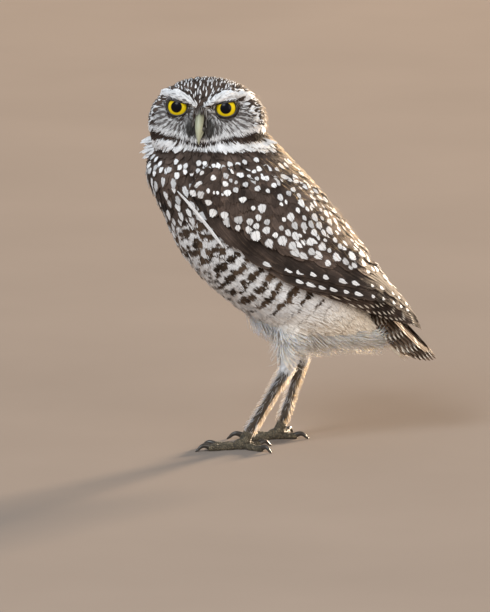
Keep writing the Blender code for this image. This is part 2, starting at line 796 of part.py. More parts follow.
def toe_path(side, sole, heading, length, radius):
    """The middle of a toe from the sole outward, and the direction it points in."""
    turn = math.radians(heading)
    ahead = Vector((side * math.sin(turn), -math.cos(turn), 0.0))
    path = []
    for share, height, _ in TOE_OUTLINE:
        path.append(sole + ahead * (length * share) + Vector((0.0, 0.0, radius * height)))
    return path, ahead


def make_claw(name, start, ahead, length, radius):
    """A claw that curves down from the toe's end to the floor."""
    path, radii = [], []
    for k in range(7):
        share = k / 6
        reach = length * 0.86 * math.sin(share * CLAW_BEND) / math.sin(CLAW_BEND)
        rise = 1.15 * math.sin(math.pi * min(share * 1.5, 1.0)) - 1.04 * share**2 * radius
        path.append(start + ahead * reach + Vector((0.0, 0.0, rise + 0.2)))
        radii.append((CLAW_RADIUS - 0.2) * (1 - share) ** 0.75 + 0.2)
    return tube(name, path, radii, 6)


def make_leg(name, side):
    """Thigh, shank and foot, made as one body and parted with thin cuts, and the claws."""
    hip, heel, ankle, sole = (Vector(p) for p in LEGS[name])
    leg = tube("leg", [hip.lerp(heel, s) for s in (0.0, 0.4, 0.75, 1.0)], THIGH_RADII, 18)
    run = (ankle - heel).normalized()
    shank_path = [heel - run * 1.5, heel, heel.lerp(ankle, 0.12), heel.lerp(ankle, 0.5), ankle]
    shank_path.append(sole + Vector((0.0, 0.0, 3.0)))
    shank_radii = (2.4, HEEL_RADIUS, SHANK_TOP_RADIUS, SHANK_RADIUS, SHANK_RADIUS * 1.06, 3.6)
    parts = [tube("shank", shank_path, shank_radii, 9)]
    parts.append(tube("pad", [sole + Vector((0.0, y, z)) for y, z, _ in PAD], [row[2] for row in PAD], 9))
    claws = []
    for toe_name, heading, length, radius, claw_length in TOES:
        path, ahead = toe_path(side, sole, heading, length, radius)
        parts.append(tube("toe", path, [radius * row[2] for row in TOE_OUTLINE], TOE_SIDES))
        claw_name = f"{name}_{toe_name}_claw"
        claws.append(make_claw(claw_name, path[-1] - ahead * 0.8, ahead, claw_length, radius))
    boolean(leg, parts, "UNION")
    keep_largest(leg)
    boolean(leg, [inflated(claw, GAP) for claw in claws], "DIFFERENCE")
    boolean(leg, [slab(heel + run * 4.0, run, 11.0), slab(ankle - run, run, 11.0)], "DIFFERENCE")
    foot, shank, thigh = split_shells(
        leg, (f"{name}_foot", f"{name}_shank", f"{name}_thigh"), lambda middle: middle[2])
    for piece in (foot, *claws):
        boolean(piece, [slab(sole - Vector((0.0, 0.0, 5.0)), (0.0, 0.0, 1.0), 45.0, 10.0)], "DIFFERENCE")
        keep_largest(piece)
    set_finish(foot, "toe")
    set_finish(shank, "pale_feather")
    set_finish(thigh, "pale_feather")
    for claw in claws:
        set_finish(claw, "claw")
    return thigh


def centre_on_floor():
    """Moves every mesh so that the owl's box is centred over the origin and stands on z = 0."""
    corners = [vertex.co for made in bpy.data.objects for vertex in made.data.vertices]
    low = [min(c[k] for c in corners) for k in range(3)]
    high = [max(c[k] for c in corners) for k in range(3)]
    shift = Vector((-(low[0] + high[0]) / 2, -(low[1] + high[1]) / 2, -low[2]))
    for made in bpy.data.objects:
        made.data.transform(Matrix.Translation(shift))


def main():
    clear_scene()
    torso, around_body = make_head_and_trunk()
    tail = make_tail()
    around_tail = inflated(hull_of(tail), GAP, keep=False)
    for name, side in (("left", 1), ("right", -1)):
        make_wing(side, f"{name}_wing", (around_body, around_tail))
        thigh = make_leg(name, side)
        boolean(thigh, [copy_of(around_body)], "DIFFERENCE")
        keep_largest(thigh)
    boolean(torso, [around_tail], "DIFFERENCE")
    keep_largest(torso)
    bpy.data.objects.remove(around_body, do_unlink=True)
    centre_on_floor()
    for made in bpy.data.objects:
        made.data.shade_smooth()
        made.data.set_sharp_from_angle(angle=math.radians(50.0))


main()
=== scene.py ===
"""Looks of the burrowing owl: skin, plumage, eyes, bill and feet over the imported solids, light and camera.

Shapes are worked out in millimetres in the model's own frame: the owl faces -Y, its left side is +X and
+Z is up. Meshes are turned into metres as they are made.
"""

import itertools
import math

import bmesh
import bpy
import numpy as np
from mathutils import Matrix, Vector
from mathutils.kdtree import KDTree


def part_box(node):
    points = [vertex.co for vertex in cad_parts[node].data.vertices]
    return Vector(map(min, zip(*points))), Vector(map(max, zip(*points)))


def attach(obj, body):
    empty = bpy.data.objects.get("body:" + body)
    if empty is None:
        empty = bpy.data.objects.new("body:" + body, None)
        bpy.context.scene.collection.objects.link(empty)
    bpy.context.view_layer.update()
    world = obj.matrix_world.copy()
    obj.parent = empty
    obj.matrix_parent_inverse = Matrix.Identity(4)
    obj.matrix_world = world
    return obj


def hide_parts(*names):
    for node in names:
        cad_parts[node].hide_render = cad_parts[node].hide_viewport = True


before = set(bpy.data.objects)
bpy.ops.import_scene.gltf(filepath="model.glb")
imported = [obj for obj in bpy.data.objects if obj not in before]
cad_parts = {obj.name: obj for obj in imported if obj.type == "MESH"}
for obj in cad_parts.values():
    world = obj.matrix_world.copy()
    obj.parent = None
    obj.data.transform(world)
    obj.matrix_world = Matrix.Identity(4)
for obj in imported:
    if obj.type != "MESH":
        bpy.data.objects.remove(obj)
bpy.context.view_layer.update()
MM = 0.001
CHANCE = np.random.default_rng(11)
SIDES = ((1, "left"), (-1, "right"))

# The trunk as stations from the neck to the vent: the back's (y, z), the belly's (y, z) and the half width.
TRUNK_STATIONS = (
    ((2.0, 184.0), (-57.0, 178.0), 29.0),
    ((12.0, 173.5), (-66.0, 166.0), 34.0),
    ((21.0, 163.0), (-65.8, 155.0), 36.0),
    ((30.5, 153.5), (-61.5, 146.0), 37.0),
    ((39.5, 142.0), (-56.0, 134.0), 37.5),
    ((47.0, 130.0), (-50.5, 121.0), 37.5),
    ((53.0, 118.0), (-42.5, 107.5), 37.0),
    ((58.5, 107.0), (-30.0, 93.5), 36.0),
    ((62.0, 98.0), (-14.0, 80.0), 34.0),
    ((63.5, 90.0), (1.5, 68.5), 30.0),
    ((65.0, 83.0), (17.0, 60.0), 25.5),
    ((67.0, 76.5), (34.0, 57.0), 20.5),
    ((70.0, 71.0), (52.0, 58.0), 14.5),
    ((74.0, 66.0), (66.0, 56.5), 9.0),
    ((77.5, 61.5), (76.0, 57.5), 3.5),
)
TRUNK_ROWS = np.array([(*back, *belly, half) for back, belly, half in TRUNK_STATIONS])

# The head's frame, and the eye's place in it as (left, forward, up).
HEAD_CENTRE = np.array((0.0, -30.4, 189.0))
HEAD_HEADING = math.radians(69.0)
HEAD_TILT = math.radians(8.0)
EYE_PLACE = (13.6, 18.2, 9.4)
EYE_RADIUS = 7.6
EYE_TURN_OUT = math.radians(6.0)
IRIS_RADIUS = 5.9
PUPIL_RADIUS = 3.25

# The camera, as the photo shows the owl.
PHOTO_SIZE = (490, 612)
MM_PER_PIXEL = 0.577
CAMERA_AZIMUTH = math.radians(78.0)
CAMERA_ELEVATION = math.radians(10.5)
CAMERA_DISTANCE = 9000.0
SENSOR_HEIGHT = 36.0
FEET_PIXEL = (259.3, 443.6)

# Colours
BROWN = np.array((0.078, 0.056, 0.046))
DARK = np.array((0.030, 0.020, 0.016))
WARM_BROWN = np.array((0.105, 0.070, 0.047))
WHITE = np.array((0.86, 0.86, 0.87))
GREY = np.array((0.42, 0.40, 0.38))
CREAM = np.array((0.97, 0.87, 0.74))
LORE_GREY = np.array((0.045, 0.042, 0.038))
FUZZ_BROWN = np.array((0.30, 0.21, 0.13))
LEG_SKIN = np.array((0.10, 0.08, 0.065))
SHANK_BROWN = np.array((0.085, 0.065, 0.052))
WORN_BROWN = (0.16, 0.11, 0.08)
IRIS_DEEP, IRIS_BRIGHT = (0.95, 0.60, 0.0), (1.0, 0.84, 0.02)
IRIS_CLOUD, IRIS_INNER = (0.75, 0.55, 0.02), (0.55, 0.35, 0.0)
# The second colour in this row is a painted shadow that the upper lid casts on the iris's top.
IRIS_RIM, LID_PAINTED_SHADOW = (0.02, 0.015, 0.005), (0.10, 0.05, 0.0)
PUPIL_BLACK = (0.004, 0.004, 0.006)
HORN_COLOURS = ((0.42, 0.44, 0.30), (0.62, 0.64, 0.47))
HORN_BASE, HORN_CLOUD, HORN_TIP = (0.20, 0.21, 0.15), (0.38, 0.36, 0.24), (0.50, 0.48, 0.34)
TOE_COLOURS = ((0.045, 0.036, 0.022), (0.24, 0.19, 0.115))
TOE_CREASE, TOE_PALE = (0.02, 0.015, 0.01), (0.34, 0.29, 0.21)
CLAW_COLOURS = ((0.012, 0.010, 0.009), (0.075, 0.062, 0.050))
LID_COLOURS = ((0.012, 0.010, 0.010), (0.05, 0.042, 0.038))
FLOOR_COLOURS = ((0.26, 0.220, 0.191), (0.305, 0.258, 0.225))
DAYLIGHT = (0.88, 0.93, 1.0, 1.0)


def unit(vectors):
    length = np.linalg.norm(vectors, axis=-1, keepdims=True)
    return vectors / np.maximum(length, 1e-9)


def dots(first, second):
    return (first * second).sum(axis=-1, keepdims=True)


def mixed(low, high, share):
    return low * (1 - share) + high * share


def eased(share):
    share = np.clip(share, 0.0, 1.0)
    return share * share * (3 - 2 * share)


def above(height):
    return np.array((0.0, 0.0, height))


def turns_of(sides):
    return [2 * math.pi * j / sides for j in range(sides)]


def line(table, at):
    return np.interp(at, table[0], table[1])


def grid(first, second):
    return np.meshgrid(first, second, indexing="ij")


def evenly(count):
    return np.linspace(0, 1, count)


def drift(size, shape):
    return CHANCE.normal(0, size, shape)


def between(low, high, shape):
    return CHANCE.uniform(low, high, shape)


def through_rows(rows, place):
    """A smooth curve through rows of numbers. Place runs from 0 at the first row to 1 at the last."""
    last = len(rows) - 1
    steps = np.clip(np.asarray(place, float), 0.0, 1.0) * last
    before = np.minimum(steps.astype(int), last - 1)
    part = (steps - before)[..., None]
    p0, p1, p2, p3 = (rows[np.clip(before + k, 0, last)] for k in (-1, 0, 1, 2))
    bend = 2 * p0 - 5 * p1 + 4 * p2 - p3
    twist = -p0 + 3 * p1 - 3 * p2 + p3
    return 0.5 * (2 * p1 + (p2 - p0) * part + bend * part**2 + twist * part**3)


def tree_of(points):
    tree = KDTree(len(points))
    for k, point in enumerate(points):
        tree.insert(point, k)
    tree.balance()
    return tree


def nearest(tree, points):
    return np.array([tree.find(p)[1] for p in points], dtype=int)


# Head frame
LEVEL = np.array((math.sin(HEAD_HEADING), -math.cos(HEAD_HEADING), 0.0))
HEAD_FORWARD = LEVEL * math.cos(HEAD_TILT) + above(math.sin(HEAD_TILT))
HEAD_LEFT = np.cross((0.0, 0.0, 1.0), LEVEL)
HEAD_UP = np.cross(HEAD_FORWARD, HEAD_LEFT)
HEAD_AXES = np.array((HEAD_LEFT, HEAD_FORWARD, HEAD_UP))


def box_centre(node):
    low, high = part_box(node)
    return np.array((low + high) / 2) / MM


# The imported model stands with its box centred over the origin, so the design's places move by this much.
DESIGN_SHIFT = box_centre("left_eye") - (HEAD_CENTRE + np.array(EYE_PLACE) @ HEAD_AXES)
HEAD_CENTRE = HEAD_CENTRE + DESIGN_SHIFT


def eye_place(side):
    return np.array(EYE_PLACE) * (side, 1.0, 1.0)


def head_to_world(places):
    return HEAD_CENTRE + np.asarray(places, float) @ HEAD_AXES


def world_to_head(places):
    return (np.asarray(places, float) - HEAD_CENTRE) @ HEAD_AXES.T


def trunk_point(place, angle, lift=0.0):
    """Points on the trunk: place from 0 at the neck to 1 at the vent, angle in degrees from the back."""
    rows = through_rows(TRUNK_ROWS, place)
    back, belly, half_width = rows[..., 0:2], rows[..., 2:4], rows[..., 4]
    centre = (back + belly) / 2
    half_depth = np.linalg.norm(back - belly, axis=-1) / 2
    up = (back - belly) / (2 * half_depth)[..., None]
    turn = np.radians(angle)
    side, rise = np.sin(turn) / half_width, np.cos(turn) / half_depth
    length = np.hypot(side, rise)
    across = half_width * np.sin(turn) + lift * side / length
    along = half_depth * np.cos(turn) + lift * rise / length
    inner = centre + up * along[..., None]
    return np.concatenate([across[..., None], inner], axis=-1) + DESIGN_SHIFT


# Meshes


def linked(name, data):
    made = bpy.data.objects.new(name, data)
    bpy.context.scene.collection.objects.link(made)
    return made


def plain_mesh(name, points, faces):
    """A mesh object from points in millimetres."""
    mesh = bpy.data.meshes.new(name)
    mesh.from_pydata([tuple(float(c) * MM for c in p) for p in points], [], [tuple(f) for f in faces])
    mesh.update()
    return linked(name, mesh)


def closed_mesh(name, points, faces):
    """A closed body whose faces look outward."""
    made = plain_mesh(name, points, faces)
    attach(made, "root")
    work = bmesh.new()
    work.from_mesh(made.data)
    bmesh.ops.recalc_face_normals(work, faces=work.faces)
    work.to_mesh(made.data)
    work.free()
    return made


def dressed(made, material, *replaced, degrees=60.0):
    """Gives a piece its material and its smooth shading, and hides the solids that it replaces."""
    made.data.materials.append(material)
    made.data.shade_smooth()
    made.data.set_sharp_from_angle(angle=math.radians(degrees))
    if replaced:
        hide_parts(*replaced)
    return made


def read_all(items, key):
    values = np.zeros(len(items) * 3)
    items.foreach_get(key, values)
    return values.reshape(-1, 3)


def lay_map(mesh, name, values):
    """A UV map from one place for each point."""
    corners = np.zeros(len(mesh.loops), dtype=np.int32)
    mesh.loops.foreach_get("vertex_index", corners)
    layer = mesh.uv_layers.new(name=name)
    layer.uv.foreach_set("vector", np.asarray(values, np.float32)[corners].ravel())


def paint(mesh, key, values):
    """Keeps a colour, or four numbers, for each point."""
    if values.shape[1] == 3:
        values = np.concatenate([values, np.ones((len(values), 1))], axis=1)
    layer = mesh.attributes.new(key, "FLOAT_COLOR", "POINT")
    layer.data.foreach_set("color", values.astype(np.float32).ravel())


def ring_faces(rings, sides):
    faces = []
    for k in range(rings - 1):
        for j in range(sides):
            a, b = k * sides + j, k * sides + (j + 1) % sides
            faces.append((a, b, b + sides, a + sides))
    faces.append(tuple(range(sides)))
    faces.append(tuple(range((rings - 1) * sides, rings * sides)))
    return faces


def swept(path, sides, reach, squash=1.0):
    """Rings of points round a path, none below the floor. Reach gives the radius for a ring and a turn."""
    path, points = np.asarray(path, float), []
    for k, centre in enumerate(path):
        ahead = unit(path[min(k + 1, len(path) - 1)] - path[max(k - 1, 0)])
        side = unit(np.cross(ahead, (0.0, 0.0, 1.0)))
        top = np.cross(side, ahead)
        for turn in turns_of(sides):
            point = centre + (side * math.cos(turn) + top * math.sin(turn) * squash) * reach(k, turn)
            point[2] = max(point[2], 0.0)
            points.append(point)
    return points


# Skin

FLESH = ("head", "neck", "torso", "left_thigh", "right_thigh", "left_shank", "right_shank")
# How deep the skin lies below the solids.
BODY_COAT, FACE_COAT, LEG_COAT = 2.0, 0.9, 0.7
SKIN_VOXEL = 1.1
SKIN_SMOOTHING = 6
# Below this height the skin has the legs' colour.
LEG_TOP = 60.0
# The round head under the ruff: radii toward the low and the high end of each axis.
HEAD_LOW_RADII = (34.5, 33.0, 36.0)
HEAD_HIGH_RADII = (34.5, 28.5, 26.8)


def make_skin():
    """One closed skin from the flesh solids, without their seams, sunk below them by the coat's depth."""
    work = bmesh.new()
    for name in FLESH:
        work.from_mesh(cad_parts[name].data)
    mesh = bpy.data.meshes.new("flesh")
    work.to_mesh(mesh)
    work.free()
    skin = linked("skin", mesh)
    remesh = skin.modifiers.new("remesh", "REMESH")
    remesh.mode = "VOXEL"
    remesh.voxel_size = SKIN_VOXEL * MM
    even = skin.modifiers.new("even", "SMOOTH")
    even.factor = 0.5
    even.iterations = SKIN_SMOOTHING
    bpy.context.view_layer.update()
    graph = bpy.context.evaluated_depsgraph_get()
    mesh = bpy.data.meshes.new_from_object(skin.evaluated_get(graph))
    skin.modifiers.clear()
    skin.data = mesh
    places, normals = read_all(mesh.vertices, "co") / MM, read_all(mesh.vertices, "normal")
    on_head = world_to_head(places)
    facing = eased((on_head[:, 1] - 4.0) / 12.0) * eased((places[:, 2] - 160.0) / 8.0)
    depth = BODY_COAT + (FACE_COAT - BODY_COAT) * facing
    depth = depth + (LEG_COAT - depth) * eased((66.0 - places[:, 2]) / 14.0)
    eyes = [eye_place(side) + (0.0, 4.0, 0.0) for side in (-1, 1)]
    near_eye = np.min([np.linalg.norm(on_head - eye, axis=1) for eye in eyes], axis=0)
    depth = depth * (0.35 + 0.65 * eased((near_eye - 8.0) / 4.0))
    places = places - normals * depth[:, None]
    places, normals = without_ruff(places, normals, on_head)
    mesh.vertices.foreach_set("co", (places * MM).ravel())
    mesh.update()
    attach(skin, "root")
    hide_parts(*FLESH)
    skin.data.shade_smooth()
    return skin, places, normals


def without_ruff(places, normals, on_head):
    """Lays the skin of the ruff's stiff vanes back onto the round head and trunk below them."""
    x, y, z = on_head.T
    zone = np.flatnonzero((np.abs(x) > 19) & (z < -3) & (z > -32) & (np.abs(y + 4) < 13))
    polar, turn = grid(np.radians(np.arange(3, 178, 3)), np.radians(np.arange(0, 360, 4)))
    way = np.stack([np.sin(polar) * np.sin(turn), np.cos(polar), np.sin(polar) * np.cos(turn)], axis=-1)
    way = way.reshape(-1, 3)
    radii = np.where(way > 0, HEAD_HIGH_RADII, HEAD_LOW_RADII)
    ball = way / np.linalg.norm(way / radii, axis=1, keepdims=True)
    station, angle = grid(np.linspace(0, 0.5, 60), np.arange(0, 360, 4.0))
    surface = trunk_point(station, angle).reshape(-1, 3)
    outward = unit(trunk_point(station, angle, 1.0).reshape(-1, 3) - surface)
    best = np.full(len(zone), np.inf)
    at, out = places[zone].copy(), normals[zone].copy()
    for points, facing in ((head_to_world(ball), unit(ball / radii**2) @ HEAD_AXES), (surface, outward)):
        found = nearest(tree_of(points), places[zone])
        height = dots(places[zone] - points[found], facing[found])[:, 0]
        closer = height < best
        best = np.where(closer, height, best)
        at[closer] = (points[found] - facing[found] * BODY_COAT)[closer]
        out[closer] = facing[found][closer]
    proud = best > 0.4 - BODY_COAT
    places, normals = places.copy(), normals.copy()
    places[zone[proud]] = at[proud]
    normals[zone[proud]] = out[proud]
    return places, normals


class Ground:
    """A surface that feathers grow over. It finds the nearest place and normal on it."""

    def __init__(self, places, normals):
        self.places, self.normals, self.tree = places, normals, tree_of(places)

    def at(self, points):
        picks = np.array([[hit[1] for hit in self.tree.find_n(p, 3)] for p in points])
        place, normal = self.places[picks].mean(axis=1), unit(self.normals[picks].sum(axis=1))
        return points - normal * dots(points - place, normal), normal

    def lines(self, roots, ways, lengths, stations=6):
        """Lines that run over the surface from each root along its way."""
        point, normal = self.at(roots)
        points, normals = [point], [normal]
        for _ in range(1, stations):
            ways = unit(ways - normal * dots(ways, normal))
            point, normal = self.at(point + ways * (lengths / (stations - 1))[:, None])
            points.append(point)
            normals.append(normal)
        return np.stack(points, axis=1), np.stack(normals, axis=1)


# Feathers

# Shares of the half width along a feather, from root to tip, for each outline.
OUTLINES = {
    "contour": (0.35, 0.72, 0.95, 1.0, 0.86, 0.42),
    "flight": (0.35, 0.72, 0.92, 1.0, 0.92, 0.3),
    "bristle": (0.6, 1.0, 0.9, 0.7, 0.45, 0.12),
}
# The side of each feather's patch on the map that bakes its colours.
PATCH_SIZE = 0.003


def sample(values, shares):
    """Reads values, given at even steps along each feather, at any shares of its length."""
    last = values.shape[1] - 1
    steps = np.clip(shares, 0.0, 1.0) * last
    before = np.minimum(steps.astype(int), last - 1)
    rows = np.arange(len(values))[:, None]
    return mixed(values[rows, before], values[rows, before + 1], (steps - before)[..., None])


class Plumage:
    """Gathers feathers as thin closed vanes and makes one mesh object of them."""

    def __init__(self, name):
        self.name = name
        self.points, self.faces, self.patterns, self.patches = [], [], [], []
        self.looks = {"ground": [], "mark": [], "spot": [], "bars": []}
        self.count = 0

    def add(self, lines, normals, half, rise, look, patch, outline="contour", strips=1, stations=5,
            thickness=0.16, fray=0.0, roll=0.0):
        """Feathers along lines. Half is each one's half width, rise its height at root, middle and tip.

        Strips splits a vane lengthwise into barbs that part a little when fray is above 0. Roll tilts the
        vanes across. Patch is each root's place on the unwrapped skin.
        """
        count = len(lines)
        side = unit(np.cross(np.gradient(lines, axis=1), normals))
        widths = np.asarray(OUTLINES[outline])
        rise = np.broadcast_to(rise, (count, 3))
        split = strips > 1
        for j in range(strips):
            middle = (2 * j + 1) / strips - 1
            reach = 1.0 - 0.16 * middle**2 * split + drift(0.05 * fray, (count, 1))
            shares = evenly(stations)[None, :] ** 0.9 * reach
            centre, normal, across = (sample(v, shares) for v in (lines, normals, side))
            normal, across = unit(normal), unit(across)
            if np.any(roll):
                across = unit(across + normal * np.reshape(roll, (-1, 1, 1)))
                normal = unit(np.cross(across, unit(np.gradient(centre, axis=1))))
            wide = np.interp(shares, evenly(len(widths)), widths) * half[:, None]
            height = np.where(
                shares < 0.5,
                rise[:, 0:1] + (rise[:, 1:2] - rise[:, 0:1]) * shares * 2,
                rise[:, 1:2] + (rise[:, 2:3] - rise[:, 1:2]) * (shares * 2 - 1),
            )
            height = height + drift(0.10 * fray, (count, 1)) * shares
            height = height - 0.25 * (middle * wide) ** 2 / (half[:, None] + 1.0) * split
            sway = drift(0.35 * fray, (count, 1)) * shares**2
            centre = centre + across * (wide * middle + sway)[..., None] + normal * height[..., None]
            thin = wide / strips * (1.35 if split else 1.0) * (1 - 0.5 * shares**6 * split)
            aside = across * thin[..., None]
            ridge = centre + normal * thickness
            ridge[:, -1] += (ridge[:, -1] - ridge[:, -2]) * 0.12
            rows = np.stack([centre - aside, ridge, centre + aside], axis=2)
            self.store(rows, look, patch, shares, middle, 1 / strips)

    def store(self, rows, look, patch, shares, middle, half_u):
        count, stations = rows.shape[:2]
        per = stations * 3
        one = []
        for k in range(stations - 1):
            corners = (3 * k, 3 * k + 1, 3 * k + 2)
            for a, b in zip(corners, (*corners[1:], corners[0])):
                one += [(a, b, b + 3), (a, b + 3, a + 3)]
        one += [(0, 2, 1), (per - 3, per - 2, per - 1)]
        start = self.count + np.arange(count)[:, None, None] * per
        self.faces.append((np.array(one)[None] + start).reshape(-1, 3))
        self.points.append(rows.reshape(-1, 3))
        pattern = np.empty((count, stations, 3, 2))
        pattern[..., 0] = 0.5 + 0.5 * (middle + half_u * np.array((-1.0, 0.0, 1.0)))
        pattern[..., 1] = shares[:, :, None]
        self.patterns.append(pattern.reshape(-1, 2))
        self.patches.append(((pattern - 0.5) * PATCH_SIZE + patch[:, None, None, :]).reshape(-1, 2))
        for key, kept in self.looks.items():
            kept.append(np.repeat(look[key], per, axis=0))
        self.count += count * per

    def build(self, material, *replaced):
        points, faces = np.concatenate(self.points) * MM, np.concatenate(self.faces)
        mesh = bpy.data.meshes.new(self.name)
        mesh.vertices.add(len(points))
        mesh.vertices.foreach_set("co", points.ravel())
        mesh.loops.add(faces.size)
        mesh.loops.foreach_set("vertex_index", faces.ravel().astype(np.int32))
        mesh.polygons.add(len(faces))
        mesh.polygons.foreach_set("loop_start", np.arange(0, faces.size, 3, dtype=np.int32))
        mesh.update(calc_edges=True)
        lay_map(mesh, "OFBake", np.concatenate(self.patches))
        lay_map(mesh, "vane", np.concatenate(self.patterns))
        for key, values in self.looks.items():
            paint(mesh, key, np.concatenate(values))
        made = linked(self.name, mesh)
        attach(made, "root")
        dressed(made, material, *replaced)


def look_of(count, ground, mark, spot=(0, 0.7, 0, 0), bars=(0, 0, 0, 1), vary=0.12):
    """The colours and pattern of a group of feathers.

    Spot is (side, place, half width, half length) of a pair of spots, or of one if side is 0. Bars is
    (count, start, share of pale, how far from the shaft they begin).
    """
    shade = np.clip(1 + drift(vary, (count, 1)), 0.68, 1.6)

    def spread(value, width):
        return np.broadcast_to(np.asarray(value, float), (count, width)).copy()

    return {
        "ground": np.clip(spread(ground, 3) * shade, 0, 1),
        "mark": np.clip(spread(mark, 3) * (1 + drift(vary * 0.5, (count, 1))), 0, 1),
        "spot": spread(spot, 4),
        "bars": spread(bars, 4),
    }


def patches_from(first, second):
    """Places on the unwrapped skin, kept a little inside the map's edges."""
    spread = []
    for values in (first, second):
        low, high = values.min(), values.max()
        spread.append(0.01 + 0.98 * (values - low) / max(high - low, 1e-6))
    return np.stack(spread, axis=1)


def head_patches(h):
    polar = np.arccos(np.clip(unit(h)[:, 1], -1, 1))
    turn = np.arctan2(h[:, 0], h[:, 2])
    return patches_from(polar * np.cos(turn), polar * np.sin(turn))


NEIGHBOURS = tuple(itertools.product((-1, 0, 1), repeat=3))


def scattered(places, spacing, allowed):
    """Picks places that are at least the spacing apart."""
    cells, picks = {}, []
    keys = np.floor(places / spacing).astype(int)
    for k in CHANCE.permutation(np.flatnonzero(allowed)):
        x, y, z = keys[k]
        around = [other for i, j, n in NEIGHBOURS for other in cells.get((x + i, y + j, z + n), ())]
        if all((gap := places[k] - places[other]) @ gap >= spacing * spacing for other in around):
            cells.setdefault((x, y, z), []).append(k)
            picks.append(k)
    return np.array(picks, dtype=int)


def rooted(places, spacing, allowed, share):
    """Picks places at least the spacing apart and shifts them by a share of it."""
    picks = scattered(places, spacing, allowed)
    return picks, places[picks] + drift(share * spacing, (len(picks), 3))


# Wing

WING_EDGE_ANGLES = (
    (0.085, 70.0, 112.0),
    (0.145, 50.0, 127.5),
    (0.22, 33.0, 127.0),
    (0.30, 22.0, 124.0),
    (0.38, 15.0, 115.0),
    (0.45, 11.0, 100.0),
    (0.52, 7.0, 84.0),
)
WING_END = (
    ((1.2, 69.5, 102.5), (21.0, 62.0, 94.5), (30.5, 50.5, 87.5)),
    ((1.2, 78.6, 90.5), (15.5, 72.5, 86.0), (23.0, 63.5, 81.0)),
    ((1.2, 86.8, 80.0), (11.0, 81.0, 77.8), (16.5, 74.0, 75.8)),
    ((1.4, 91.6, 71.5), (7.6, 88.6, 71.2), (11.0, 84.8, 70.6)),
    ((2.0, 95.0, 63.8), (4.6, 94.0, 64.2), (6.6, 92.8, 64.6)),
)
WING_LIFT = 3.2
WING_SPAN = 196.0
# How deep below the wing's face places still count as covered, and how near the edge they are bare.
WING_DEPTH, WING_COVER = 14.0, 4.5


def wing_rows():
    rows = []
    for place, upper, lower in WING_EDGE_ANGLES:
        angles = (upper, (upper + lower) / 2, lower)
        rows.append([trunk_point(np.array(place), a, WING_LIFT) for a in angles])
    rows += [[np.array(p) + DESIGN_SHIFT for p in row] for row in WING_END]
    return np.array(rows).reshape(len(rows), 9)


WING_ROWS = wing_rows()


def mirrored(points, side):
    return (points - DESIGN_SHIFT) * np.array((side, 1.0, 1.0)) + DESIGN_SHIFT


def wing_point(along, across, side=1):
    """Points of the folded wing's face: along from shoulder to tip, across from upper to lower edge."""
    rows = through_rows(WING_ROWS, along)
    upper, middle, lower = rows[..., 0:3], rows[..., 3:6], rows[..., 6:9]
    t = np.asarray(across, float)[..., None]
    point = upper * (1 - t) * (1 - 2 * t) + middle * 4 * t * (1 - t) + lower * t * (2 * t - 1)
    return mirrored(point, side)


def wing_normal(along, across, side=1):
    step = 0.01
    along, across = np.broadcast_arrays(np.asarray(along, float), np.asarray(across, float))
    down = wing_point(along, across + step, side) - wing_point(along, across - step, side)
    rear = wing_point(np.minimum(along + step, 1.0), across, side)
    rear = rear - wing_point(np.maximum(along - step, 0.0), across, side)
    return unit(np.cross(down, rear) * side)


def wing_sink(along, across):
    """How far the wing's face drops toward the body at its edges. It rises over the hollow at the rump."""
    low = eased((across - 0.74) / 0.24) * eased((0.62 - along) / 0.25)
    high = eased((0.30 - across) / 0.28) * eased((1.0 - along) / 0.1)
    shoulder = eased((0.14 - along) / 0.14)
    hollow = np.exp(-(((along - 0.50) / 0.085) ** 2)) * eased((0.5 - across) / 0.45)
    return 2.6 * np.maximum(np.maximum(low, high * 0.5), shoulder) - 4.2 * hollow


def wing_face(along, across, side=1):
    """Places and normals of the wing's face as its feathers lie on it."""
    normal = wing_normal(np.clip(along, 0.0, 0.985), across, side)
    return wing_point(along, across, side) - normal * wing_sink(along, across)[..., None], normal


def wing_plate(side, name):
    """The closed plate under the wing's feathers."""
    along, across = grid(np.linspace(0.015, 0.9, 36), np.linspace(0.03, 0.97, 13))
    point, normal = wing_face(along, across, side)
    edge = eased(np.minimum(across, 1 - across) / 0.16)
    thick = (0.4 + 1.3 * edge) * (0.4 + 0.6 * eased(along / 0.15)) * (1 - 0.6 * eased((along - 0.5) / 0.4))
    outer = point - normal * 0.7
    inner = outer - normal * thick[..., None]
    rings = np.concatenate([outer, inner[:, ::-1]], axis=1)
    made = closed_mesh(f"{name}_wing_plate", rings.reshape(-1, 3), ring_faces(*rings.shape[:2]))
    paint(made.data, "ground", np.tile(BROWN * 0.6, (len(made.data.vertices), 1)))
    return dressed(made, bpy.data.materials["down"])


def wing_ground(side, low, high):
    """Places and normals all over a part of the wing's outer face."""
    along, across = grid(np.linspace(low, high, 90), evenly(60))
    point, normal = wing_face(along, across, side)
    return point.reshape(-1, 3), normal.reshape(-1, 3), np.stack([along.ravel(), across.ravel()], axis=1)


def wing_gaps(side, places):
    """Distances of places from the wing. For places below it they are measured along the wing's face."""
    inner, facing, _ = wing_ground(side, 0.05, 0.97)
    found = nearest(tree_of(inner), places)
    off = places - inner[found]
    depth = -dots(off, facing[found])[:, 0]
    direct = np.linalg.norm(off, axis=1)
    beside = np.sqrt(np.maximum(direct**2 - depth**2, 0.0))
    return np.where((depth > 0) & (depth < WING_DEPTH), beside, direct)


class TrunkMap:
    """Finds, for places near the trunk, the station, the angle from the back and the way to the tail."""

    def __init__(self):
        stations, angles = grid(evenly(141), np.linspace(-180, 177, 120))
        ahead = trunk_point(np.minimum(stations + 0.01, 1.0), angles) - trunk_point(stations - 0.01, angles)
        self.ways = unit(ahead.reshape(-1, 3))
        self.stations, self.angles = stations.ravel(), angles.ravel()
        self.tree = tree_of(trunk_point(stations, angles).reshape(-1, 3))

    def at(self, points):
        picks = nearest(self.tree, points)
        return self.stations[picks], self.angles[picks], self.ways[picks]


